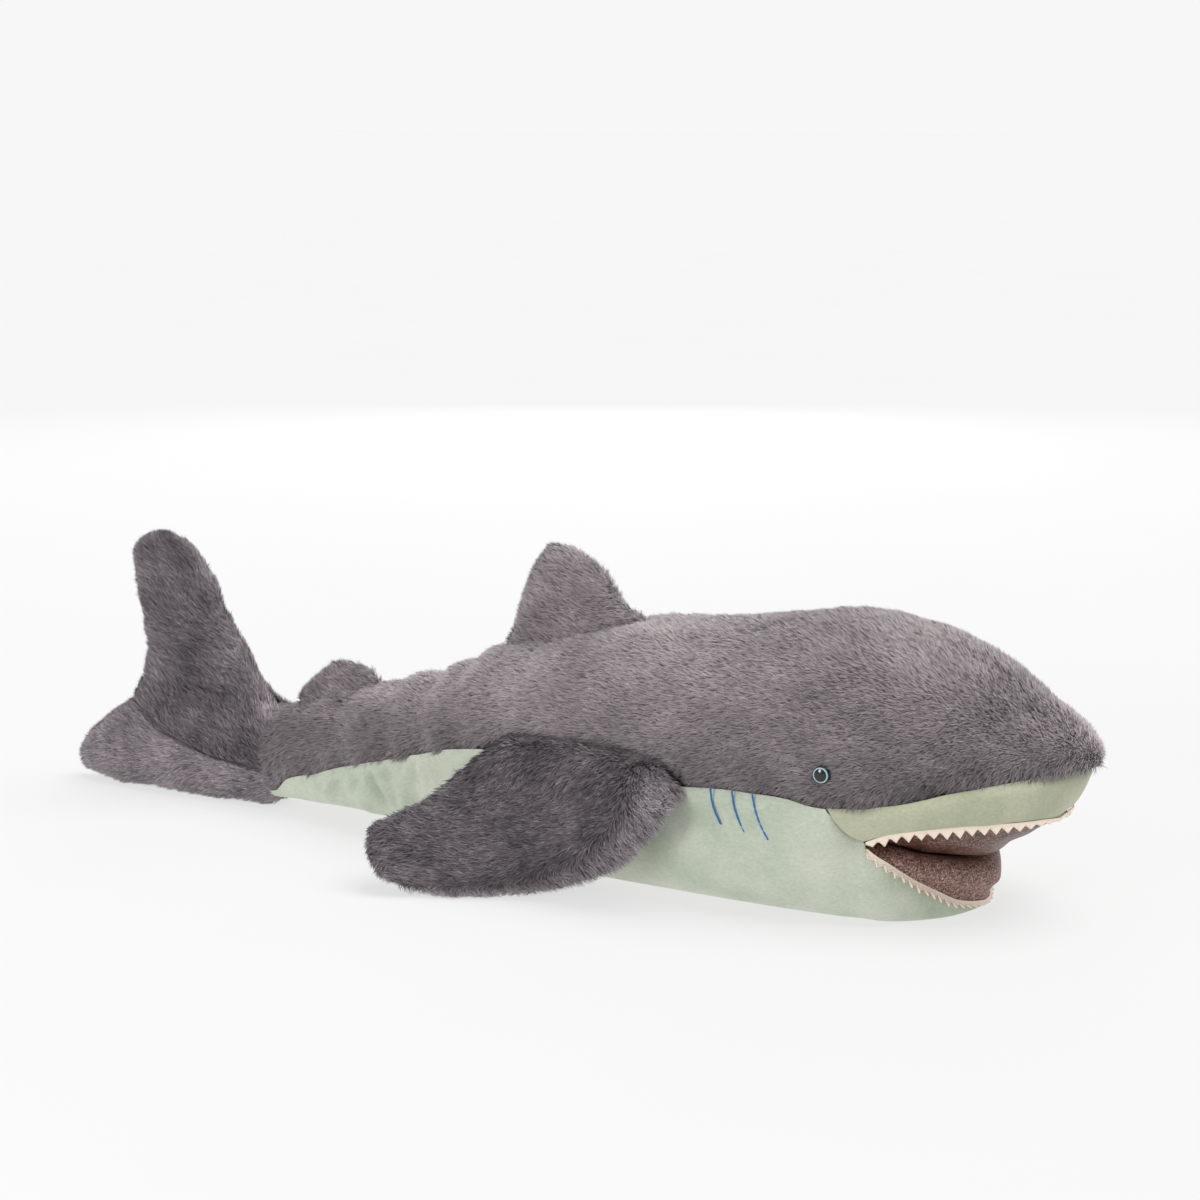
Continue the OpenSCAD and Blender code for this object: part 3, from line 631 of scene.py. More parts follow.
def belly_line(x, n):
    if x <= CORNER:
        s = smooth(min(max(x, TAIL_END), HEAD_STARTS), BACK[:, 0], BACK)[0]
        line = part(side(s), border(x), -1)
        t = step(x, 236, CORNER)
        if t > 0:
            j = jaw_side([0, 82, max(border(x), 50.6), 51, 0])
            line = resample(line, n * 3) * (1 - t) + resample(j, n * 3) * t
    else:
        line = jaw_side(smooth(x, LOWER[:, 0], LOWER)[0])
    flat = np.array([[0.0, line[-1, 1]]])
    line = np.concatenate([line, flat])
    return resample(line, n)


def belly_grid(xs, n=44):
    rows = []
    for x in xs:
        half = placed(belly_line(x, n), x)
        rows.append(np.concatenate([half, flip(half[:-1])[::-1]]))
    return np.array(rows)


def from_edges(P):
    return np.minimum(norm(P - P[:, :1]), norm(P - P[:, -1:]))


def velour_shape(P, turn):
    N = normals(P, turn)
    from_edge = from_edges(P)
    x, z = P[..., 0], P[..., 2]
    low = step(z, 9, 30)
    lump = (0.9 * wave(P, 60, 31) + 0.45 * wave(P, 24, 32)) * low
    # vertical folds of the slack cloth towards the tail
    slack = (1 - step(x, -60, 20)) * low * step(from_edge, 1, 12)
    for at, deep, wide, tilt in ((-168, 1.4, 5, 0.2), (-150, 1.8, 5, -0.15), (-133, 2.4, 5.5, 0.25),
                                 (-117, 2.2, 5, -0.1), (-100, 2.6, 6, 0.3), (-82, 2.0, 6, 0.1),
                                 (-60, 1.8, 7, 0.35), (-36, 1.5, 8, 0.2)):
        strong = 2.3 + 1.1 * wave(P, 30, 300 + int(abs(wide * 7 + at)))
        over = x + tilt * (z - 35) + 4 * wave(P, 36, 33)
        lump -= 1.25 * deep * strong * bump(over, at, wide * 1.15) * slack
        lump += 0.9 * deep * strong * bump(over, at + wide * 1.9, wide * 1.4) * slack
    return P + N * lump[..., None]


cut_x = -40.0
tail_xs = np.linspace(-203, cut_x, 110)
front_xs = np.concatenate([np.linspace(cut_x, 236, 120)[:-1], np.linspace(236, 294, 60)[:-1],
                           294 + 12.6 * np.sin(np.linspace(0, np.pi / 2, 18))])
whole = belly_grid(np.concatenate([tail_xs, front_xs[1:]]))
shaped = velour_shape(whole, -1)
edge = from_edges(whole)
NB = normals(shaped, -1)
along = whole[..., 0]
fur_edge = (1 - step(along, 234, 240))
corner = bump(along, 250, 10) * (1 - fur_edge)
shaped = shaped - NB * (2.4 * bump(edge, 0, 3.4) * fur_edge + 1.6 * bump(edge, 0, 2.2) * corner)[..., None]
pucker = np.sin(along * 2 * np.pi / 5.3 + 2 * wave(whole, 20, 34)) * 0.35 * bump(edge, 4, 4) * fur_edge
shaped = shaped + NB * pucker[..., None]
shaped[..., 2] = np.maximum(shaped[..., 2], 0.15)


def cloth_piece(name, P, turn, thick=1.6, N=None, keep_normals=False):
    """A sheet with a second skin behind it, closed round its edge."""
    nu, nv = P.shape[:2]
    N = normals(P, turn) if N is None else N
    inner = P - N * thick
    n = nu * nv
    i = np.arange(n).reshape(nu, nv)
    loop = np.concatenate([i[0, :-1], i[:-1, -1], i[-1, :0:-1], i[:0:-1, 0]])
    nxt = np.roll(loop, -1)
    rim = np.stack([loop, nxt, nxt + n, loop + n], -1)
    out = cells(nu, nv, turn)
    polys = [out, out[:, ::-1] + n, rim if turn < 0 else rim[:, ::-1]]
    uv = np.concatenate([grid_uv(nu, nv, (0.01, 0.01, 0.66, 0.99)), grid_uv(nu, nv, (0.68, 0.01, 0.99, 0.99))])
    custom = np.concatenate([N.reshape(-1, 3), -N.reshape(-1, 3)]) if keep_normals else None
    return build(name, np.concatenate([P.reshape(-1, 3), inner.reshape(-1, 3)]), polys, uv=uv, custom=custom)


NB = normals(shaped, -1)
rear = cloth_piece("velour_belly_rear", shaped[:len(tail_xs)], -1, N=NB[:len(tail_xs)], keep_normals=True)
dress(rear, VELOUR)
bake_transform(rear)
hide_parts("tail_belly_panel", "tail_stuffing")
belly = cloth_piece("velour_belly_front", shaped[len(tail_xs) - 1:], -1, N=NB[len(tail_xs) - 1:],
                    keep_normals=True)
dress(belly, VELOUR)
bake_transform(belly)
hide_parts("belly_panel", "torso_stuffing", "chin_panel", "jaw_stuffing")


def lip_line(x, n):
    s = station(x) if x > HEAD_STARTS else smooth(x, BACK[:, 0], BACK)[0]
    lo = border(x) if x <= CORNER else s[5]
    line = part(side(s), seam_height(x), lo)
    t = step(x, 236, CORNER)
    if x <= CORNER and t > 0:
        h = FRONT[0].copy()
        h[0:4] = s[0:4]
        other = part(side(h), seam_height(x), max(lo, h[5] + 0.01))
        line = resample(line, n * 3) * (1 - t) + resample(other, n * 3) * t
    return resample(line, n)


def lip_grid(n=26):
    xs = np.concatenate([np.linspace(238.6, 262, 22)[:-1], np.linspace(262, 330, 46)[:-1],
                         330 + 45 * np.sin(np.linspace(0, np.pi / 2, 30))])
    return np.array([placed(lip_line(x, n), x) for x in xs])


# the upper lip's edge: x, half width and height
upper_rows = [[r[0], r[4], r[5]] for r in HEAD if r[0] < 361]


def drawn_back(P):
    P = P.copy()
    P[..., 0] -= (4.2 * step(P[..., 2], 60, 68) + 2.6 * step(P[..., 2], 76, 92)) * step(P[..., 0], 343, 364)
    return P


L = drawn_back(lip_grid())
NL = normals(L, -1)
top_edge, low_edge, x = norm(L - L[:, :1]), norm(L - L[:, -1:]), L[..., 0]
bulge = 1.1 * np.sin(np.pi * np.clip(top_edge / (top_edge + low_edge + 1e-6), 0, 1)) * (1 - step(x, 350, 372))
L = L + NL * (bulge + 0.4 * wave(L, 26, 41) - 2.2 * bump(top_edge, 0, 3) * (1 - step(x, 345, 358))
              - 1.2 * bump(low_edge, 0, 2) * (1 - step(x, 256, 262)))[..., None]
L[..., 1] = np.minimum(L[..., 1], -0.05)
both = np.concatenate([L, flip(L)[::-1]])
mid = len(L)


def even_out(A, a, b):
    """Smooths rows a to b of A with their neighbours."""
    A[a:b] = (A[a - 1:b - 1] + 2 * A[a:b] + A[a + 1:b + 1]) / 4


def lip_front(rows, back=36):
    """The front of the lip, drawn between the fur seam and the lower edge, both carried round the nose."""
    side_row = rows[mid - back]
    up, lo = rows[mid - back:mid, 0], rows[mid - back:mid, -1]
    lo = lo[:int(np.argmax(lo[:, 1] > -upper_rows[-1][1]))]
    up = resample(np.concatenate([up, flip(up)[::-1]]), 2 * back)
    lo = resample(np.concatenate([lo, flip(lo)[::-1]]), 2 * back)
    for _ in range(6):
        for line in (up, lo):
            even_out(line, back - 14, back + 14)
    v = np.linspace(0, 1, rows.shape[1])[None, :, None]
    flat = up[:, None] * (1 - v) + lo[:, None] * v
    way = np.gradient(up + lo, axis=0)
    way = unit(np.stack([way[:, 1], -way[:, 0], 0 * way[:, 0]], -1))
    way = way * (1 if way[back, 0] > 0 else -1)
    off = side_row - flat[0]
    full = off @ way[0]
    off = off - full[:, None] * way[0]
    fade = (1 - step(np.arange(2 * back), 0, 20))[:, None, None]
    return flat + way[:, None] * full[None, :, None] + off * fade + flip(off) * fade[::-1]


both[mid - 36:mid + 36] = lip_front(both)
for _ in range(6):
    even_out(both[:, 1:-1], mid - 42, mid + 42)
lip = cloth_piece("velour_lip", both, -1, thick=1.2)
dress(lip, LIP)
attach(lip, "body")
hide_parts("upper_lip_panel", "head_stuffing")


# ---- mouth lining: a full palate and a full tongue
# x, and how far the lining hangs from the upper lip or stands up from the lower one
PALATE_DROP = np.array([[259, 3], [268, 20], [278, 29], [292, 31], [305, 32], [312, 31], [318, 26], [325, 21.5],
                        [332, 17.5], [343, 9.5], [352, 3.5], [361.5, 0.5]], float)
TONGUE_RISE = np.array([[258, 2], [264, 6], [271, 11], [281, 18], [290.5, 25.5], [298, 31], [303, 32.5],
                        [307, 33]], float)


def palate_height(x, y):
    s = smooth(x, FRONT[:, 0], FRONT)
    w = np.maximum(s[:, 4] - 1.4, 0.8)
    d = smooth(x, PALATE_DROP[:, 0], PALATE_DROP[:, 1])
    return s[:, 5] + 0.4 - d * np.clip(1 - (y / w) ** 2, 0, 1) ** 0.9, w


def palate_surface(n=44, m=61):
    xs = np.concatenate([np.linspace(259.5, 340, n), 340 + 21 * np.sin(np.linspace(0, np.pi / 2, 14))[1:]])
    rows = []
    for x in xs:
        xx = np.full(m, x)
        _, w = palate_height(xx, np.zeros(m))
        y = w * np.sin(np.linspace(-np.pi / 2, np.pi / 2, m))
        rows.append(np.stack([xx, y, palate_height(xx, y)[0]], -1))
    return np.array(rows)


def tongue_surface(n=121, m=40):
    """A full pad that rises steeply from the lower lip, bulges over it in front, and rests against the palate."""
    half = np.array([smooth(t, np.arange(len(JAW)), LOWER[:, [0, 1, 2]])[0]
                     for t in np.linspace(0, len(JAW) - 1, 200)])
    lip = np.stack([half[:, 0], -(half[:, 1] - 1.3), half[:, 2] - 0.3], -1)
    lip = resample(np.concatenate([lip, flip(lip)[::-1]]), n)
    spine = np.stack([259.5 + (lip[:, 0] - 259.5) * 0.62, np.zeros(n)], -1)
    out = np.gradient(lip[:, :2], axis=0)
    out = unit(np.stack([out[:, 1], -out[:, 0]], -1))
    if out[n // 2, 0] < 0:
        out = -out
    rise = smooth(lip[:, 0], TONGUE_RISE[:, 0], TONGUE_RISE[:, 1])
    front = step(lip[:, 0], 264, 300)
    s = np.linspace(0, 1, m) ** 1.6
    over = 9.2 * np.exp(-((s - 0.11) / 0.19) ** 2) * np.minimum(1, s / 0.04)
    xy = (lip[:, None, :2] * (1 - s[:, None]) + spine[:, None] * s[:, None]
          + out[:, None] * (over[None, :, None] * front[:, None, None]))
    z = lip[:, 2:3] + rise[:, None] * np.sqrt(1 - (1 - s) ** 4)
    roof = palate_height(np.clip(xy[..., 0], 259.5, 361).ravel(), xy[..., 1].ravel())[0].reshape(z.shape)
    soft = 2.0
    z = -soft * np.logaddexp(-z / soft, -(roof - 0.6) / soft)
    z[:, 0] = np.minimum(lip[:, 2], z[:, 0])
    return np.concatenate([xy, z[..., None]], -1)


palate = palate_surface()
palate[..., 2] -= 1.8 * step(palate[..., 0], 340, 360)
palate[..., 0] -= 6.5 * step(palate[..., 0], 343, 361)
tongue = tongue_surface()
palate = palate + normals(palate, -1) * (0.4 * wave(palate, 22, 51))[..., None]
pal = cloth_piece("lining_palate", palate, 1 if normals(palate, 1)[20, 30, 2] < 0 else -1)
dress(pal, PALATE_SHADED)
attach(pal, "body")
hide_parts("palate_lining")
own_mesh(pal)
ton = cloth_piece("lining_tongue", tongue, 1 if normals(tongue, 1)[60, 30, 2] > 0 else -1)
dress(ton, GLITTER)
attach(ton, "jaw")
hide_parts("tongue_lining")
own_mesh(ton)


# ---- felt teeth
def lip_path(rows):
    half = drawn_back(np.array([[r[0], -r[1], r[2]] for r in rows], float))
    half = np.array([smooth(t, np.arange(len(half)), half)[0] for t in np.linspace(0, len(half) - 1, 160)])
    full = resample(np.concatenate([half, flip(half)[::-1]]), 2400)
    return full, distance_along(full)


def felt_teeth(name, rows, pitch, down, fold, rise, band, seed, fade, back):
    """A zigzag felt band along a lip. fold turns the teeth from straight down (0) to outwards (90)."""
    r = np.random.default_rng(seed)
    full, d = lip_path(rows)
    start, fade_width, per = 1.5, 0.13, 8
    total = d[-1] - 2 * start
    teeth = int(round(total / pitch))
    below = np.array([0, 0, -1])

    def at(s):
        return np.array([np.interp(s, d, full[:, c]) for c in range(3)])

    cols = []
    for i in range(teeth * per + 1):
        s = start + total * i / (teeth * per)
        ph = (i % per) / per
        if i % per == 0:
            size = 1 + r.normal(0, 0.07)
            lift = r.normal(0, 5)
        p, q = at(s), at(s + 1.5) - at(s - 1.5)
        out = unit(np.array([-q[1], q[0], 0.0])) * -1
        if out @ np.array([p[0] - 290, p[1], 0]) < 0:
            out = -out
        near_end = min(1.0, 0.35 + min(s, d[-1] - s) / 22)
        front = math.exp(-((s - d[-1] / 2) / (fade_width * d[-1])) ** 2)
        point = 1 - abs(2 * ph - 1)
        tooth = point ** 0.92 * down * size * near_end * (1 - fade * front)
        a = math.radians(fold + lift * point)
        way = below * math.cos(a) + out * math.sin(a)
        top = p + np.array([0, 0, rise]) + out * 0.1
        mid = p + np.array([0, 0, rise]) + (below * math.cos(a * 0.7) + out * math.sin(a * 0.7)) * band
        run = unit(q)
        way = unit(way - run * (way @ run) * back)
        cols.append([top, (top + mid) / 2 + out * 0.25, mid, mid + way * (0.35 + 0.5 * tooth),
                     mid + way * (0.35 + tooth)])
    P = np.array(cols)
    outward = P[:, 2] - np.array([290, 0, P[:, 2, 2].mean()])
    outward[:, 2] = 0
    turn = -1 if (normals(P, 1)[:, 2] * outward).sum() < 0 else 1
    return cloth_piece(name, P + normals(P, turn) * 0.6, turn, 1.2)


lower_rows = [[r[0], r[1], r[2]] for r in JAW]
up_teeth = felt_teeth("felt_teeth_upper", upper_rows, 7.4, 4.6, 14, 0.1, 1.2, 61, 0.97, 0.8)
dress(up_teeth, FELT)
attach(up_teeth, "body")
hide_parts("upper_teeth_trim")
low_teeth = felt_teeth("felt_teeth_lower", lower_rows, 6.6, 4.9, 42, 1.1, 1.7, 62, 0.75, 1.5)
dress(low_teeth, FELT)
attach(low_teeth, "jaw")
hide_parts("lower_teeth_trim")


# ---- eyes
def ring_faces(n, k):
    """Faces between n rings of k points: the same corner on this ring and the next, then the next corner's two."""
    i = np.arange(n * k).reshape(n, k)
    j = np.roll(i, -1, axis=1)
    return i[:-1], i[1:], j[1:], j[:-1]


# radius below which a colour holds, from the pupil out
EYE_RINGS = [(3.7, srgb(4, 7, 10)), (4.0, srgb(30, 74, 80)), (4.6, srgb(176, 204, 206)), (99, srgb(26, 54, 58))]


def eye(name, sign):
    """A dome with painted rings, its rim, the flat back and the shank."""
    prof = [(k * 0.225, 5.2 - (k * 0.225) ** 2 / 20) for k in range(22)]
    prof += [(4.95, 3.7), (5.1, 3.2), (5.2, 2.5), (5.26, 1.7), (5.28, 0.9), (5.28, 0.2), (5.1, -0.7), (4.4, -1.6),
             (2.6, -2.2), (1.9, -2.5), (1.9, -8.0), (0.0, -8.0)]
    k, m = 56, len(prof)
    ang = np.linspace(0, 2 * np.pi, k, endpoint=False)
    V, C = [], []
    for r_, h in prof:
        colour = srgb(14, 18, 20) if h < 1.9 else next(c for far, c in EYE_RINGS if r_ < far)
        V.append(np.stack([r_ * np.cos(ang), np.full(k, -h), r_ * np.sin(ang)], -1))
        C.append(np.tile(np.array(colour[:3]), (k, 1)))
    V, C = np.concatenate(V) + EYE_AT, np.concatenate(C)
    q = np.stack(ring_faces(m, k), -1).reshape(-1, 4)
    if sign < 0:
        V, q = flip(V), q[:, ::-1]
    uv = np.concatenate([np.stack([0.5 + 0.49 * (t / m) * np.cos(ang), 0.5 + 0.49 * (t / m) * np.sin(ang)], -1)
                         for t in range(m)])
    return build(name, V, [q[:, ::-1]], C, uv)


for who, sign, _ in SIDES:
    e = dress(eye("eye_glossy_" + who, sign), EYE)
    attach(e, "body")
    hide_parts("eye_" + who)
    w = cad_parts["eye_washer_" + who]
    for sl in w.material_slots:
        sl.material = WASHER


# ---- gill stitches: a twisted thread of two plies
# top x and z, bottom x and z of each line
GILLS = [[166, 79.5, 173, 57.5], [180, 79.5, 188, 55], [193, 79, 203, 52]]


def side_y(x, z):
    s = smooth(x, BACK[:, 0], BACK)[0]
    l = side(s, n=721)
    return -np.interp(-z, -l[:, 1], l[:, 0])


def tube(path, radius, k=7):
    t = unit(np.gradient(path, axis=0))
    up = np.array([0, -1.0, 0.05])
    a = unit(np.cross(t, up))
    b = np.cross(t, a)
    ang = np.linspace(0, 2 * np.pi, k, endpoint=False)
    rad = np.full(len(path), radius)
    rad[0] = rad[-1] = radius * 0.3
    ring = path[:, None] + rad[:, None, None] * (a[:, None] * np.cos(ang)[:, None]
                                                 + b[:, None] * np.sin(ang)[:, None])
    a0, a1, b1, b0 = ring_faces(len(path), k)
    return ring.reshape(-1, 3), np.stack([a0, b0, b1, a1], -1).reshape(-1, 4)


def gill_threads(name, sign):
    V, F, n = [], [], 0
    for g in GILLS:
        t = np.linspace(0, 1, 150)
        xx = g[0] + (g[2] - g[0]) * t - 1.6 * np.sin(np.pi * t)
        zz = g[1] + (g[3] - g[1]) * t
        yy = np.array([side_y(a, c) for a, c in zip(xx, zz)])
        run = np.stack([xx, yy - 0.1, zz], -1)
        dist = distance_along(run)
        dip = 0.35 * np.abs(np.cos(np.pi * dist / 4.6)) ** 6
        tangent = unit(np.gradient(run, axis=0))
        a = unit(np.cross(tangent, np.array([0, 1.0, 0])))
        for ph in (0, np.pi):
            tw = dist * 2 * np.pi / 2.4 + ph
            p = (run + a * (0.3 * np.cos(tw))[:, None]
                 + np.array([0, -1.0, 0]) * (0.3 * np.sin(tw) + 0.25 - dip)[:, None])
            v, f = tube(p, 0.36)
            V.append(v)
            F.append(f + n)
            n += len(v)
    V, F = np.concatenate(V), np.concatenate(F)
    if sign < 0:
        V, F = flip(V), F[:, ::-1]
    return build(name, V, [F])


for who, sign, _ in SIDES:
    g = dress(gill_threads("gill_thread_" + who, sign), THREAD)
    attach(g, "body")
    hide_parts("gill_stitches_" + who)


# ---- pectoral fins
PEC_REAR, PEC_FRONT = np.array([-14, -87.5, 64.0]), np.array([150, -114.5, 74.0])
PEC_DIR = unit(PEC_FRONT - PEC_REAR)


def pec_point(u, v, h):
    a = np.radians(np.maximum(8, 45 - 0.45 * u))
    zero = np.zeros_like(a)
    return (PEC_REAR + PEC_DIR * u[..., None] + v[..., None] * np.stack([zero, -np.sin(a), -np.cos(a)], -1)
            + h[..., None] * np.stack([zero, -np.cos(a), np.sin(a)], -1))


def pec_rows(side_of, nr=80, nc=72):
    rows = np.array(PECTORAL)
    lengths = np.array([0, 3, 8, 20, 36, 52, 64, 74, 86, 97, 104], float)
    t = np.concatenate([np.linspace(0, 8, 12)[:-1], np.linspace(8, 104, nr - 11)])
    r = smooth(t, lengths, rows)
    q = 0.5 - 0.5 * np.cos(np.pi * np.linspace(0, 1, nc))
    u = r[:, 0:1] + (r[:, 2:3] - r[:, 0:1]) * q
    v = r[:, 1:2] + (r[:, 3:4] - r[:, 1:2]) * q
    arch = np.clip(1 - np.abs(2 * q - 1) ** 2.6, 0, 1) ** 0.5
    h = side_of * 13 * r[:, 4:5] * arch
    return pec_point(u, v, h), q


top, q = pec_rows(1)
low, _ = pec_rows(-1)
# the top is carried up the body's side to the arched seam where it is sewn on
arc = resample(ROOT, 400)
arc_d = np.linspace(0, 1, 400)
arc_pts = np.stack([np.interp(q, arc_d, arc[:, c]) for c in range(3)], -1)
first = 14
shoulder = []
for k in range(18):
    s = (k / 18) ** 1.35
    base = top[first]
    lift = np.array([0, -1.0, 0.35]) * (5.2 * math.sin(math.pi * min(1, s * 1.03) ** 0.8) ** 0.75)
    inn = np.array([0, 2.4, -0.8]) * (1 - step(s, 0, 0.1))
    keep_q = np.sin(np.pi * np.clip(q, 0, 1)) ** 0.5
    shoulder.append(arc_pts * (1 - s) + base * s + lift * keep_q[:, None] + inn)
shoulder = np.array(shoulder)
TOP = np.concatenate([shoulder, top[first:]])
# underneath, the fin runs straight in to the body
first_low = low[13]
inward = np.stack([first_low[:, 0], -72 - 14 * step(first_low[:, 0], 0, 60), first_low[:, 2] + 2], -1)
LOW = np.concatenate([[inward * (1 - s) + first_low * s for s in np.linspace(0, 1, 7)[:-1]], low[13:]])


def soften(P, k):
    for _ in range(k):
        Q = P.copy()
        Q[1:-1, 1:-1] = (P[1:-1, 1:-1] * 2 + P[:-2, 1:-1] + P[2:, 1:-1] + P[1:-1, :-2] + P[1:-1, 2:]) / 6
        P = Q
    return P


TOP = soften(TOP, 4)
NT = normals(TOP, 1)
pec_turn = 1 if NT[40, 36] @ np.array([0, -0.7, 0.7]) > 0 else -1
NT = NT * pec_turn
TOP = TOP + NT * (1.1 * wave(TOP, 38, 71) + 0.5 * wave(TOP, 18, 72))[..., None]
out_dir = np.gradient(TOP, axis=0)
back_dir = np.gradient(TOP, axis=1)
napt = unit(unit(out_dir) * 1.0 + unit(back_dir) * 0.55)
front_edge = (1 - step(q, 0.1, 0.19))[None] * np.ones((len(TOP), 1))
napt = unit(napt - unit(back_dir) * (2.0 * (1 - step(q, 0.1, 0.24))[None, :, None]))
row_s = np.arange(len(TOP))[:, None] * np.ones((1, len(q)))
# seam_dark marks the rows at the arched seam, where the strands are shorter; in ptone it is painted shade in the
# seam's groove
seam_dark = bump(row_s, 0, 1.1)
root_keep = step(row_s, 0.2, 0.9)
ptone = (0.31 + 0.07 * wave(TOP, 30, 73) + 0.04 * wave(TOP, 14, 74) - 0.16 * seam_dark + 0.32 * front_edge
         + 0.2 * step(row_s, 55, 86))
ptone -= 0.14 * bump(q, 0.24, 0.07)[None] * step(row_s, 14, 30)
LOWS = soften(LOW, 3)
napl = unit(unit(np.gradient(LOWS, axis=0)) + 0.4 * unit(np.gradient(LOWS, axis=1)))
for who, mirror, flp in SIDES:
    a = furred("fur_pectoral_top_" + who, flp(TOP), pec_turn * mirror, flp(napt), ptone,
               5.8 + 1.8 * front_edge - 2.4 * seam_dark, 43 - 6 * front_edge, 1.45, root_keep, seed=300 + mirror,
               inset=3.6, width=0.44)
    dress(a, DARK)
    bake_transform(a)
    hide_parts("pectoral_" + who + "_top_fur", "pectoral_" + who + "_stuffing")
    b = furred("fur_pectoral_under_" + who, flp(LOWS), -pec_turn * mirror, flp(napl), 0.3, 5.6, 36, 1.0,
               seed=320 + mirror, inset=3.0)
    dress(b, DARK)
    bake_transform(b)
    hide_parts("pectoral_" + who + "_under_fur")


# ---- dorsal fins
def fin_grid(rows, half, base, slope, foot, flare, nr=44, nc=46):
    rows = np.array(rows, float)
    t = np.linspace(rows[1, 0], rows[-1, 0], nr)
    r = smooth(t, rows[1:, 0], rows[1:])
    full = smooth(t, rows[1:, 0], np.concatenate([[0.88], rows[2:, 3]]))
    foot_t = np.linspace(-foot, rows[1, 0], 12)[:-1]
    add = np.repeat(r[:1], len(foot_t), axis=0)
    add[:, 0] = foot_t
    r = np.concatenate([add, r])
    full = np.concatenate([np.full(len(foot_t), full[0]), full])
    k = np.exp(-(r[:, 0] + foot * 0.4) / (foot * 0.8))
    rear = r[:, 1] - flare * 0.6 * k
    front = r[:, 2] + flare * 1.3 * k
    q = 0.5 - 0.5 * np.cos(np.pi * np.linspace(0, 1, nc))
    along = front[:, None] + (rear - front)[:, None] * q
    arch = np.clip(1 - np.abs(2 * q - 1) ** 2.6, 0, 1) ** 0.5
    y = -(half * full + flare * 0.5 * k)[:, None] * arch
    h = np.broadcast_to(r[:, 0:1], along.shape)
    s, c = math.sin(math.radians(slope)), math.cos(math.radians(slope))
    P = np.stack([base[0] + along * c - h * s, y, base[2] + along * s + h * c], -1)
    # the tip closes in a round edge
    last = P[-1].copy()
    centre = last.mean(0)
    centre[1] = 0
    caps = [last * (1 - g) + centre * g + np.array([-s, 0, c]) * (0.2 * half * math.sin(g * math.pi / 2))
            for g in (0.35, 0.7, 0.97)]
    return np.concatenate([P, np.array(caps)])


def dorsal_fin(name, shape, bodies, nodes, tone, length, seed):
    """shape: the rows, half thickness, base point, slope in degrees, depth and flare of the foot."""
    P, half = fin_grid(*shape), shape[1]
    N = normals(P, 1)
    turn = 1 if N[25, 23, 1] < 0 else -1
    N = N * turn
    P = P + N * (0.8 * wave(P, 30, seed))[..., None]
    P[..., 1] = np.minimum(P[..., 1], -0.05)
    up, back = unit(np.gradient(P, axis=0)), unit(np.gradient(P, axis=1))
    n = unit(back * 0.8 + up * 0.75)
    rows_s = np.arange(len(P))[:, None] * np.ones((1, P.shape[1]))
    shade = tone + 0.06 * wave(P, 24, seed + 1) + 0.03 * wave(P, 11, seed + 2)
    short = length * (0.75 + 0.25 * step(rows_s, 4, 14))
    near_tip = 3.4 * (1 - (0.75 if half > 8 else 0.35) * step(rows_s, len(P) - 10, len(P) - 3))
    for who, mirror, flp in SIDES:
        ob = furred(name + "_" + who, flp(P), turn * mirror, flp(n), shade, short, 42, 1.4,
                    seed=seed + 5 + mirror, inset=near_tip, width=0.44)
        dress(ob, FUR)
        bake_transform(ob)
        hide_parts(*[m.replace("SIDE", who) for m in nodes], *(["%s_stuffing" % bodies[1]] if mirror > 0 else []))


dorsal_fin("fur_dorsal", (DORSAL, 11, (-26, 0, 128), 15.2, 9, 7), ("body", "dorsal"),
           ["dorsal_fur_SIDE"], 0.64, 5.8, 400)
dorsal_fin("fur_rear_dorsal", (REAR_DORSAL, 5.6, (-192, 0, 73), 17.3, 5, 4), ("tail", "rear_dorsal"),
           ["rear_dorsal_fur_SIDE"], 0.56, 5.8, 430)


# ---- caudal fin: two lobes with a seam between them
def caudal_grid(lo, hi, nr, nc=64):
    rows = np.array(CAUDAL, float)
    t = np.linspace(lo, hi, nr)
    r = smooth(t, np.arange(len(rows)), rows)
    q = (0.5 - 0.5 * np.cos(np.pi * np.linspace(0, 1, nc))) ** 1.1
    half = np.maximum(1, r[:, 5:6])
    s = np.minimum(1.3, np.maximum(0.01, r[:, 4:5]) / half)
    y = half * np.clip(1 - q ** 3.2, 0, 1) ** 0.45 * (s + (1 - s) * np.sqrt(np.clip(1 - (1 - q) ** 4, 0, 1)))
    z = r[:, 1:2] + (r[:, 3:4] - r[:, 1:2]) * q ** r[:, 6:7]
    x = r[:, 0:1] + (r[:, 2:3] - r[:, 0:1]) * q
    return np.stack([x, -y, z], -1), q


LOWER_LOBE_ROWS = 46


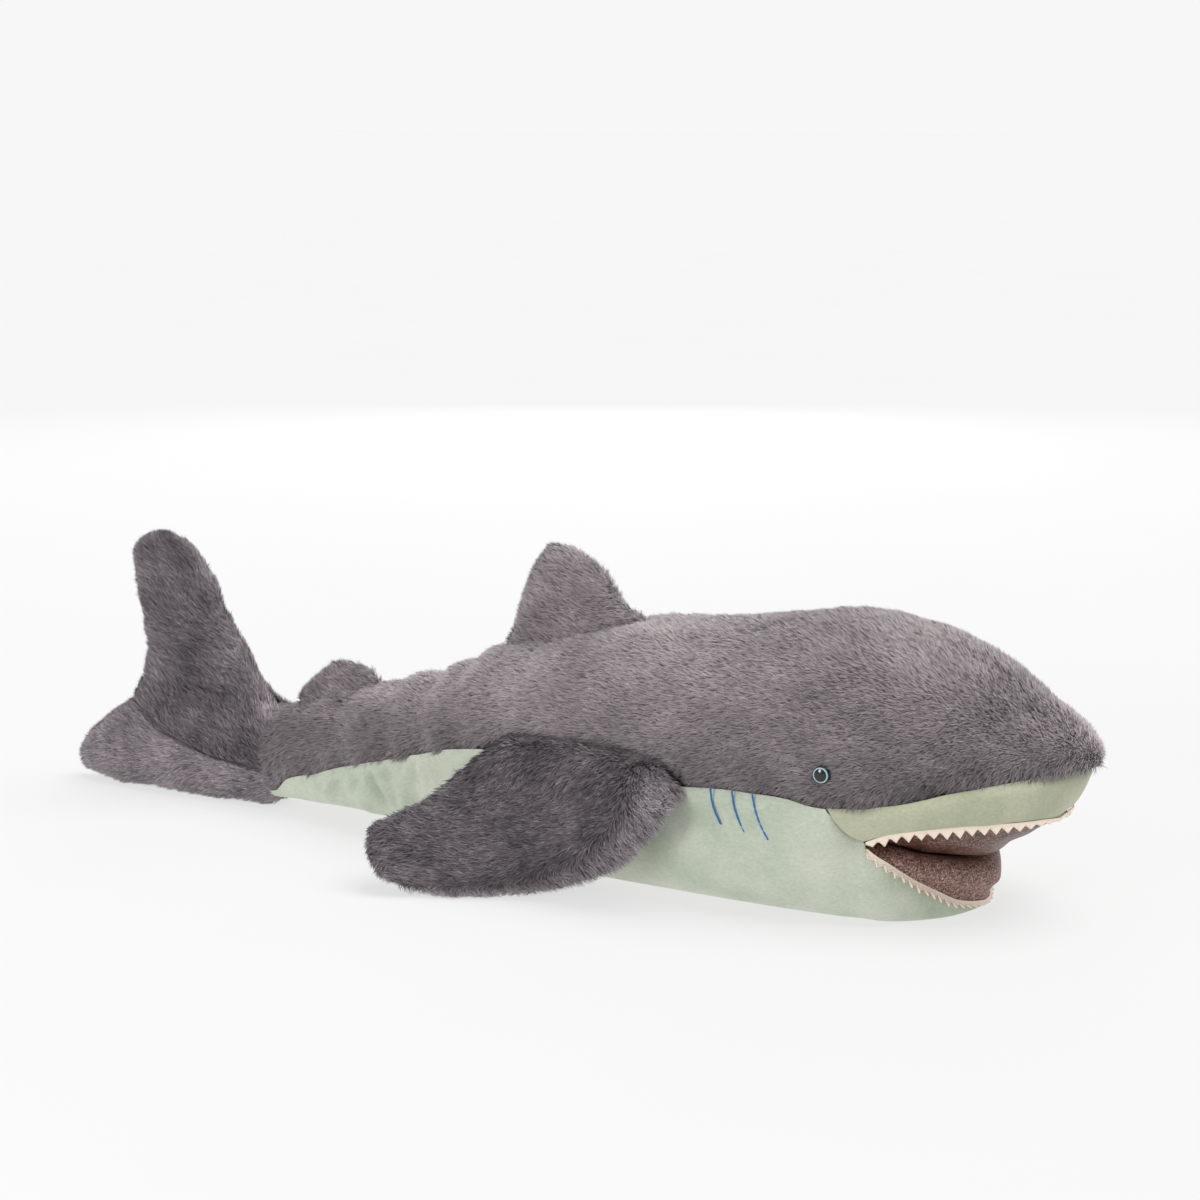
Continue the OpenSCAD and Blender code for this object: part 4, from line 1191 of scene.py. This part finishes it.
def caudal_whole():
    lower, q = caudal_grid(0, CAUDAL_SEAM, LOWER_LOBE_ROWS)
    upper, _ = caudal_grid(CAUDAL_SEAM, 15, 84)
    P = np.concatenate([lower, upper[1:]])
    t = np.concatenate([np.linspace(0, CAUDAL_SEAM, LOWER_LOBE_ROWS), np.linspace(CAUDAL_SEAM, 15, 84)[1:]])
    last = P[-1].copy()
    centre = last.mean(0) * np.array([1, 0, 1])
    tip = [last * (1 - g) + centre * g + np.array([0, 0, 1.2 * math.sin(g * math.pi / 2)])
           for g in (0.35, 0.7, 0.97)]
    first = P[0]
    foot = [first * np.array([1, 0.02, 1]) + np.array([0, 0, 0.3]),
            first * np.array([1, 0.6, 1]) + np.array([0, 0, 0.1])]
    P = np.concatenate([foot, P, tip])
    t = np.concatenate([[-0.2, -0.1], t, [15.1, 15.2, 15.3]])
    # the front edge is tucked forward inside the tail
    tuck = 1 - step(t, 7.2, 8.4)
    lead = []
    for k in (3, 2, 1):
        c = P[:, 0].copy()
        c[:, 0] += 4.5 * k * tuck
        c[:, 1] *= 1 - 0.11 * k * tuck
        c[:, 2] += (40 - c[:, 2]) * 0.05 * k * tuck + 0.6 * k * tuck * (t < 3)
        lead.append(c)
    P = np.concatenate([np.stack(lead, 1), P], axis=1)
    q = np.concatenate([[-0.03, -0.02, -0.01], q])
    return P, t, q


CP, ct, cq = caudal_whole()


def caudal_normals(turn):
    """Normals for the skin. High up, the tucked front edge and the columns near it need their own."""
    whole_n = normals(CP, turn)
    own = normals(CP[:, 3:], turn)
    high = step(ct, 6.6, 7.6)[:, None, None]
    whole_n[:, 3:] = unit(whole_n[:, 3:] * (1 - high) + own * high)
    whole_n[:, :3] = unit(whole_n[:, :3] * (1 - high) + own[:, :1] * high)
    whole_n[:, :10] = unit(whole_n[:, 10:11] * (1 - high) + whole_n[:, :10] * high)
    return whole_n


cturn = 1 if normals(CP, 1)[30, 32, 1] < 0 else -1
CN = caudal_normals(cturn)
cseam = bump(ct, CAUDAL_SEAM, 0.08)[:, None] * (1 - 0.7 * step(cq, 0.85, 0.99))[None]
crease = bump(CP[..., 0], -198, 3.0)
CP = CP + CN * (1.1 * wave(CP, 42, 505) + 0.5 * wave(CP, 20, 506) - 1.1 * cseam - 0.1 * crease)[..., None]
CP[..., 1] = np.minimum(CP[..., 1], -0.05)
CN = caudal_normals(cturn)
cup, cback = unit(np.gradient(CP, axis=0)), unit(np.gradient(CP, axis=1) + 1e-6)
cback[:, :3] = cback[:, 3:4]
cut = 2 + LOWER_LOBE_ROWS - 1
inside = (CP[..., 0] > -190) & (ct > 3.2)[:, None] & (ct < 6.8)[:, None]
ckeep = 1 - 0.9 * bump(ct, CAUDAL_SEAM, 0.07)[:, None] * (1 - step(cq, 0.9, 0.99))[None]
ckeep = ckeep * np.where(inside, 0, 1)
rear_light = 1 - step(CP[..., 0], -345, -300)
fuzz = np.maximum(np.maximum(1 - step(cq, 0.0, 0.07), step(cq, 0.94, 0.99))[None], step(ct, 14.2, 15)[:, None])
fuzz = fuzz * step(ct, 2, 3)[:, None]
fuzz[:, :3] = 0
for lobe, rows_of in (("upper", slice(cut, None)), ("lower", slice(0, cut + 1))):
    Q, QN, u, v, sm, kp, fz = (A[rows_of] for A in (CP, CN, cup, cback, cseam, ckeep, fuzz))
    if lobe == "upper":
        nap_c = unit(u * 0.85 + v * (0.35 + 0.5 * np.linspace(-0.3, 1, Q.shape[1])[None, :, None]))
        # painted shade: darker along the seam between the lobes
        shade = (0.37 + 0.08 * wave(Q, 46, 521) + 0.05 * wave(Q, 16, 522) - 0.2 * sm + 0.12 * rear_light[rows_of]
                 + 0.14 * step(cq, 0.6, 0.95) + 0.2 * (1 - step(cq, 0.02, 0.16)))
    else:
        nap_c = unit(v - u * 0.12)
        # painted shade: darker along the seam between the lobes
        shade = 0.60 + 0.08 * wave(Q, 40, 523) + 0.05 * wave(Q, 16, 524) - 0.22 * sm
    for who, mirror, flp in SIDES:
        a = furred("fur_caudal_%s_%s" % (lobe, who), flp(Q), cturn * mirror, flp(nap_c), shade, 5.8 - 2.0 * sm,
                   42 - 13 * fz, 1.35, kp, seed=(530 if lobe == "upper" else 540) + mirror, N=flp(QN), inset=3.9,
                   width=0.44)
        dress(a, DARK)
        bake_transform(a)
        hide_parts("caudal_%s_fur_%s" % (lobe, who),
                    *(["caudal_stuffing"] if mirror > 0 and lobe == "lower" else []))


# ---- floor, light
floor_mesh = bpy.data.meshes.new("floor")
s = 30.0
floor_mesh.from_pydata([(-s, -s, 0), (s, -s, 0), (s, s, 0), (-s, s, 0)], [], [(0, 1, 2, 3)])
floor = bpy.data.objects.new("floor", floor_mesh)
scene.collection.objects.link(floor)
fm = grain_material("floor_pale", (3, 2, 0.5), [(0.3, grey(0.203)), (0.7, grey(0.209))], None, Roughness=0.9,
                    Specular_IOR_Level=0.0, Emission_Color=grey(1), Emission_Strength=0.665)
floor.data.materials.append(fm)

world = bpy.data.worlds.new("studio")
scene.world = world
world.use_nodes = True
wn = world.node_tree
bg = wn.nodes["Background"]
put(bg, Color=grey(0.92), Strength=0.58)
# what the camera sees behind the floor's edge
bg2 = wn.nodes.new("ShaderNodeBackground")
put(bg2, Color=grey(0.93))
lp = wn.nodes.new("ShaderNodeLightPath")
ms = wn.nodes.new("ShaderNodeMixShader")
wn.links.new(lp.outputs["Is Camera Ray"], ms.inputs[0])
wn.links.new(bg.outputs[0], ms.inputs[1])
wn.links.new(bg2.outputs[0], ms.inputs[2])
wn.links.new(ms.outputs[0], wn.nodes["World Output"].inputs[0])


def light(name, kind, at, way, power, **more):
    l = bpy.data.lights.new(name, kind)
    l.energy = power
    for key, value in more.items():
        setattr(l, key, value)
    o = bpy.data.objects.new(name, l)
    o.location = at
    o.rotation_euler = Vector(way).to_track_quat("-Z", "Y").to_euler()
    scene.collection.objects.link(o)


def area(name, at, to, size, power):
    light(name, "AREA", at, Vector(to) - Vector(at), power, shape="DISK", size=size)


light("light_overhead", "SUN", (0, 0, 0), (-0.42, -0.20, -1.0), 2.5, angle=math.radians(50))
area("light_window", (-0.57, -1.85, 0.57), (0.2, -0.1, 0.1), 0.62, 11)
area("light_back", (-0.9, 1.9, 0.9), (0.0, 0.1, 0.1), 1.6, 9)
scene.view_settings.view_transform = "Standard"
scene.view_settings.look = "None"
